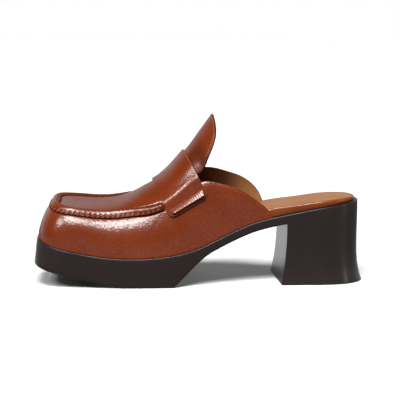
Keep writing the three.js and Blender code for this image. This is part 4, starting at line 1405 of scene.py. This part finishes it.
def make_camera():
    data = bpy.data.cameras.new("camera")
    data.sensor_width = SENSOR
    data.lens = SENSOR * CAMERA_FOCAL / FRAME_WIDTH
    data.clip_start = 0.01
    camera = bpy.data.objects.new("camera", data)
    bpy.context.scene.collection.objects.link(camera)
    turn = Matrix.Rotation(CAMERA_HEADING, 4, "Z") @ Matrix.Rotation(math.pi / 2 - CAMERA_DOWN, 4, "X")
    turn = turn @ Matrix.Rotation(CAMERA_ROLL, 4, "Z")
    camera.matrix_world = Matrix.Translation([c * MM for c in CAMERA_PLACE]) @ turn
    bpy.context.scene.camera = camera


def add_light(name, kind, power, towards, place=(0, 0, 0)):
    """A light whose back points away from what it lights."""
    data = bpy.data.lights.new(name, kind)
    data.energy = power
    light = bpy.data.objects.new(name, data)
    bpy.context.scene.collection.objects.link(light)
    light.location = place
    light.rotation_euler = Vector(towards).to_track_quat("Z", "Y").to_euler()
    return data


def make_lights():
    """Two far softboxes, given by direction and width as an angle, and the strip."""
    add_light("key", "SUN", KEY_POWER, KEY_FROM).angle = KEY_ANGLE
    add_light("side", "SUN", SIDE_POWER, SIDE_FROM).angle = SIDE_ANGLE
    towards = Vector(STRIP_PLACE) - Vector(STRIP_TARGET)
    strip = add_light("right strip", "AREA", STRIP_POWER, towards, STRIP_PLACE)
    strip.shape = "RECTANGLE"
    strip.size, strip.size_y = STRIP_SIZE


def make_world():
    """A white studio: bright along the horizon and behind the shoe, dark on the camera's side."""
    world = bpy.data.worlds.new("studio")
    world.use_nodes = True
    place = add_node(world, "ShaderNodeTexCoord")
    parts = add_node(world, "ShaderNodeSeparateXYZ", {"Vector": (place, "Generated")})
    back = ranged(world, (parts, "Y"), *WORLD_TURN, WORLD_FRONT, WORLD_BACK, True)
    horizon = ranged(world, (parts, "Z"), *HORIZON_FADE, 1.0, 0.0, True)
    low = ranged(world, (parts, "Z"), *WORLD_FADE, 1.0, WORLD_FRONT / WORLD_BACK, True)
    both, output = calculated(world, "MAXIMUM", calculated(world, "MULTIPLY", back, low), horizon)
    background = world.node_tree.nodes["Background"]
    background.inputs["Color"].default_value = (1, 1, 1, 1)
    world.node_tree.links.new(both.outputs[output], background.inputs["Strength"])
    bpy.context.scene.world = world


def make_floor():
    """The staged floor. Its look is the photo's cut-out white to the eye and a darker floor to the shoe."""
    reach = FLOOR_REACH
    corners = [(-reach, -reach, 0), (reach, -reach, 0), (reach, reach, 0), (-reach, reach, 0)]
    mesh = bpy.data.meshes.new("floor")
    mesh.from_pydata(corners, [], [(0, 1, 2, 3)])
    floor = bpy.data.objects.new("floor", mesh)
    bpy.context.scene.collection.objects.link(floor)
    material, shader = new_material("white studio floor", 1.4, 0.9, 0.1)
    seen = (add_node(material, "ShaderNodeLightPath"), "Is Camera Ray")
    place = add_node(material, "ShaderNodeTexCoord")
    parts = add_node(material, "ShaderNodeSeparateXYZ", {"Vector": (place, "Object")})
    aside = calculated(material, "ABSOLUTE", (parts, "X"))
    window = ranged(material, aside, *FLOOR_SIDES, FLOOR_SEEN, FLOOR_FRONT)
    bounce = ranged(material, (parts, "Y"), *FLOOR_TURN, FLOOR_FRONT, window)
    # Painted light: a glow seen only by the camera, which lightens the floor's shadow under the arch
    spread = ranged(material, (parts, "X"), *GLOW_RISE, to_max=FLOOR_GLOW)
    plug(material, shader, Base_Color=ranged(material, seen, to_min=bounce, to_max=FLOOR_SEEN),
         Emission_Strength=ranged(material, seen, to_max=spread))
    shader.inputs["Emission Color"].default_value = (1, 1, 1, 1)
    mesh.materials.append(material)


make_camera()
make_floor()
make_world()
make_lights()
bpy.context.scene.view_settings.view_transform = "Standard"
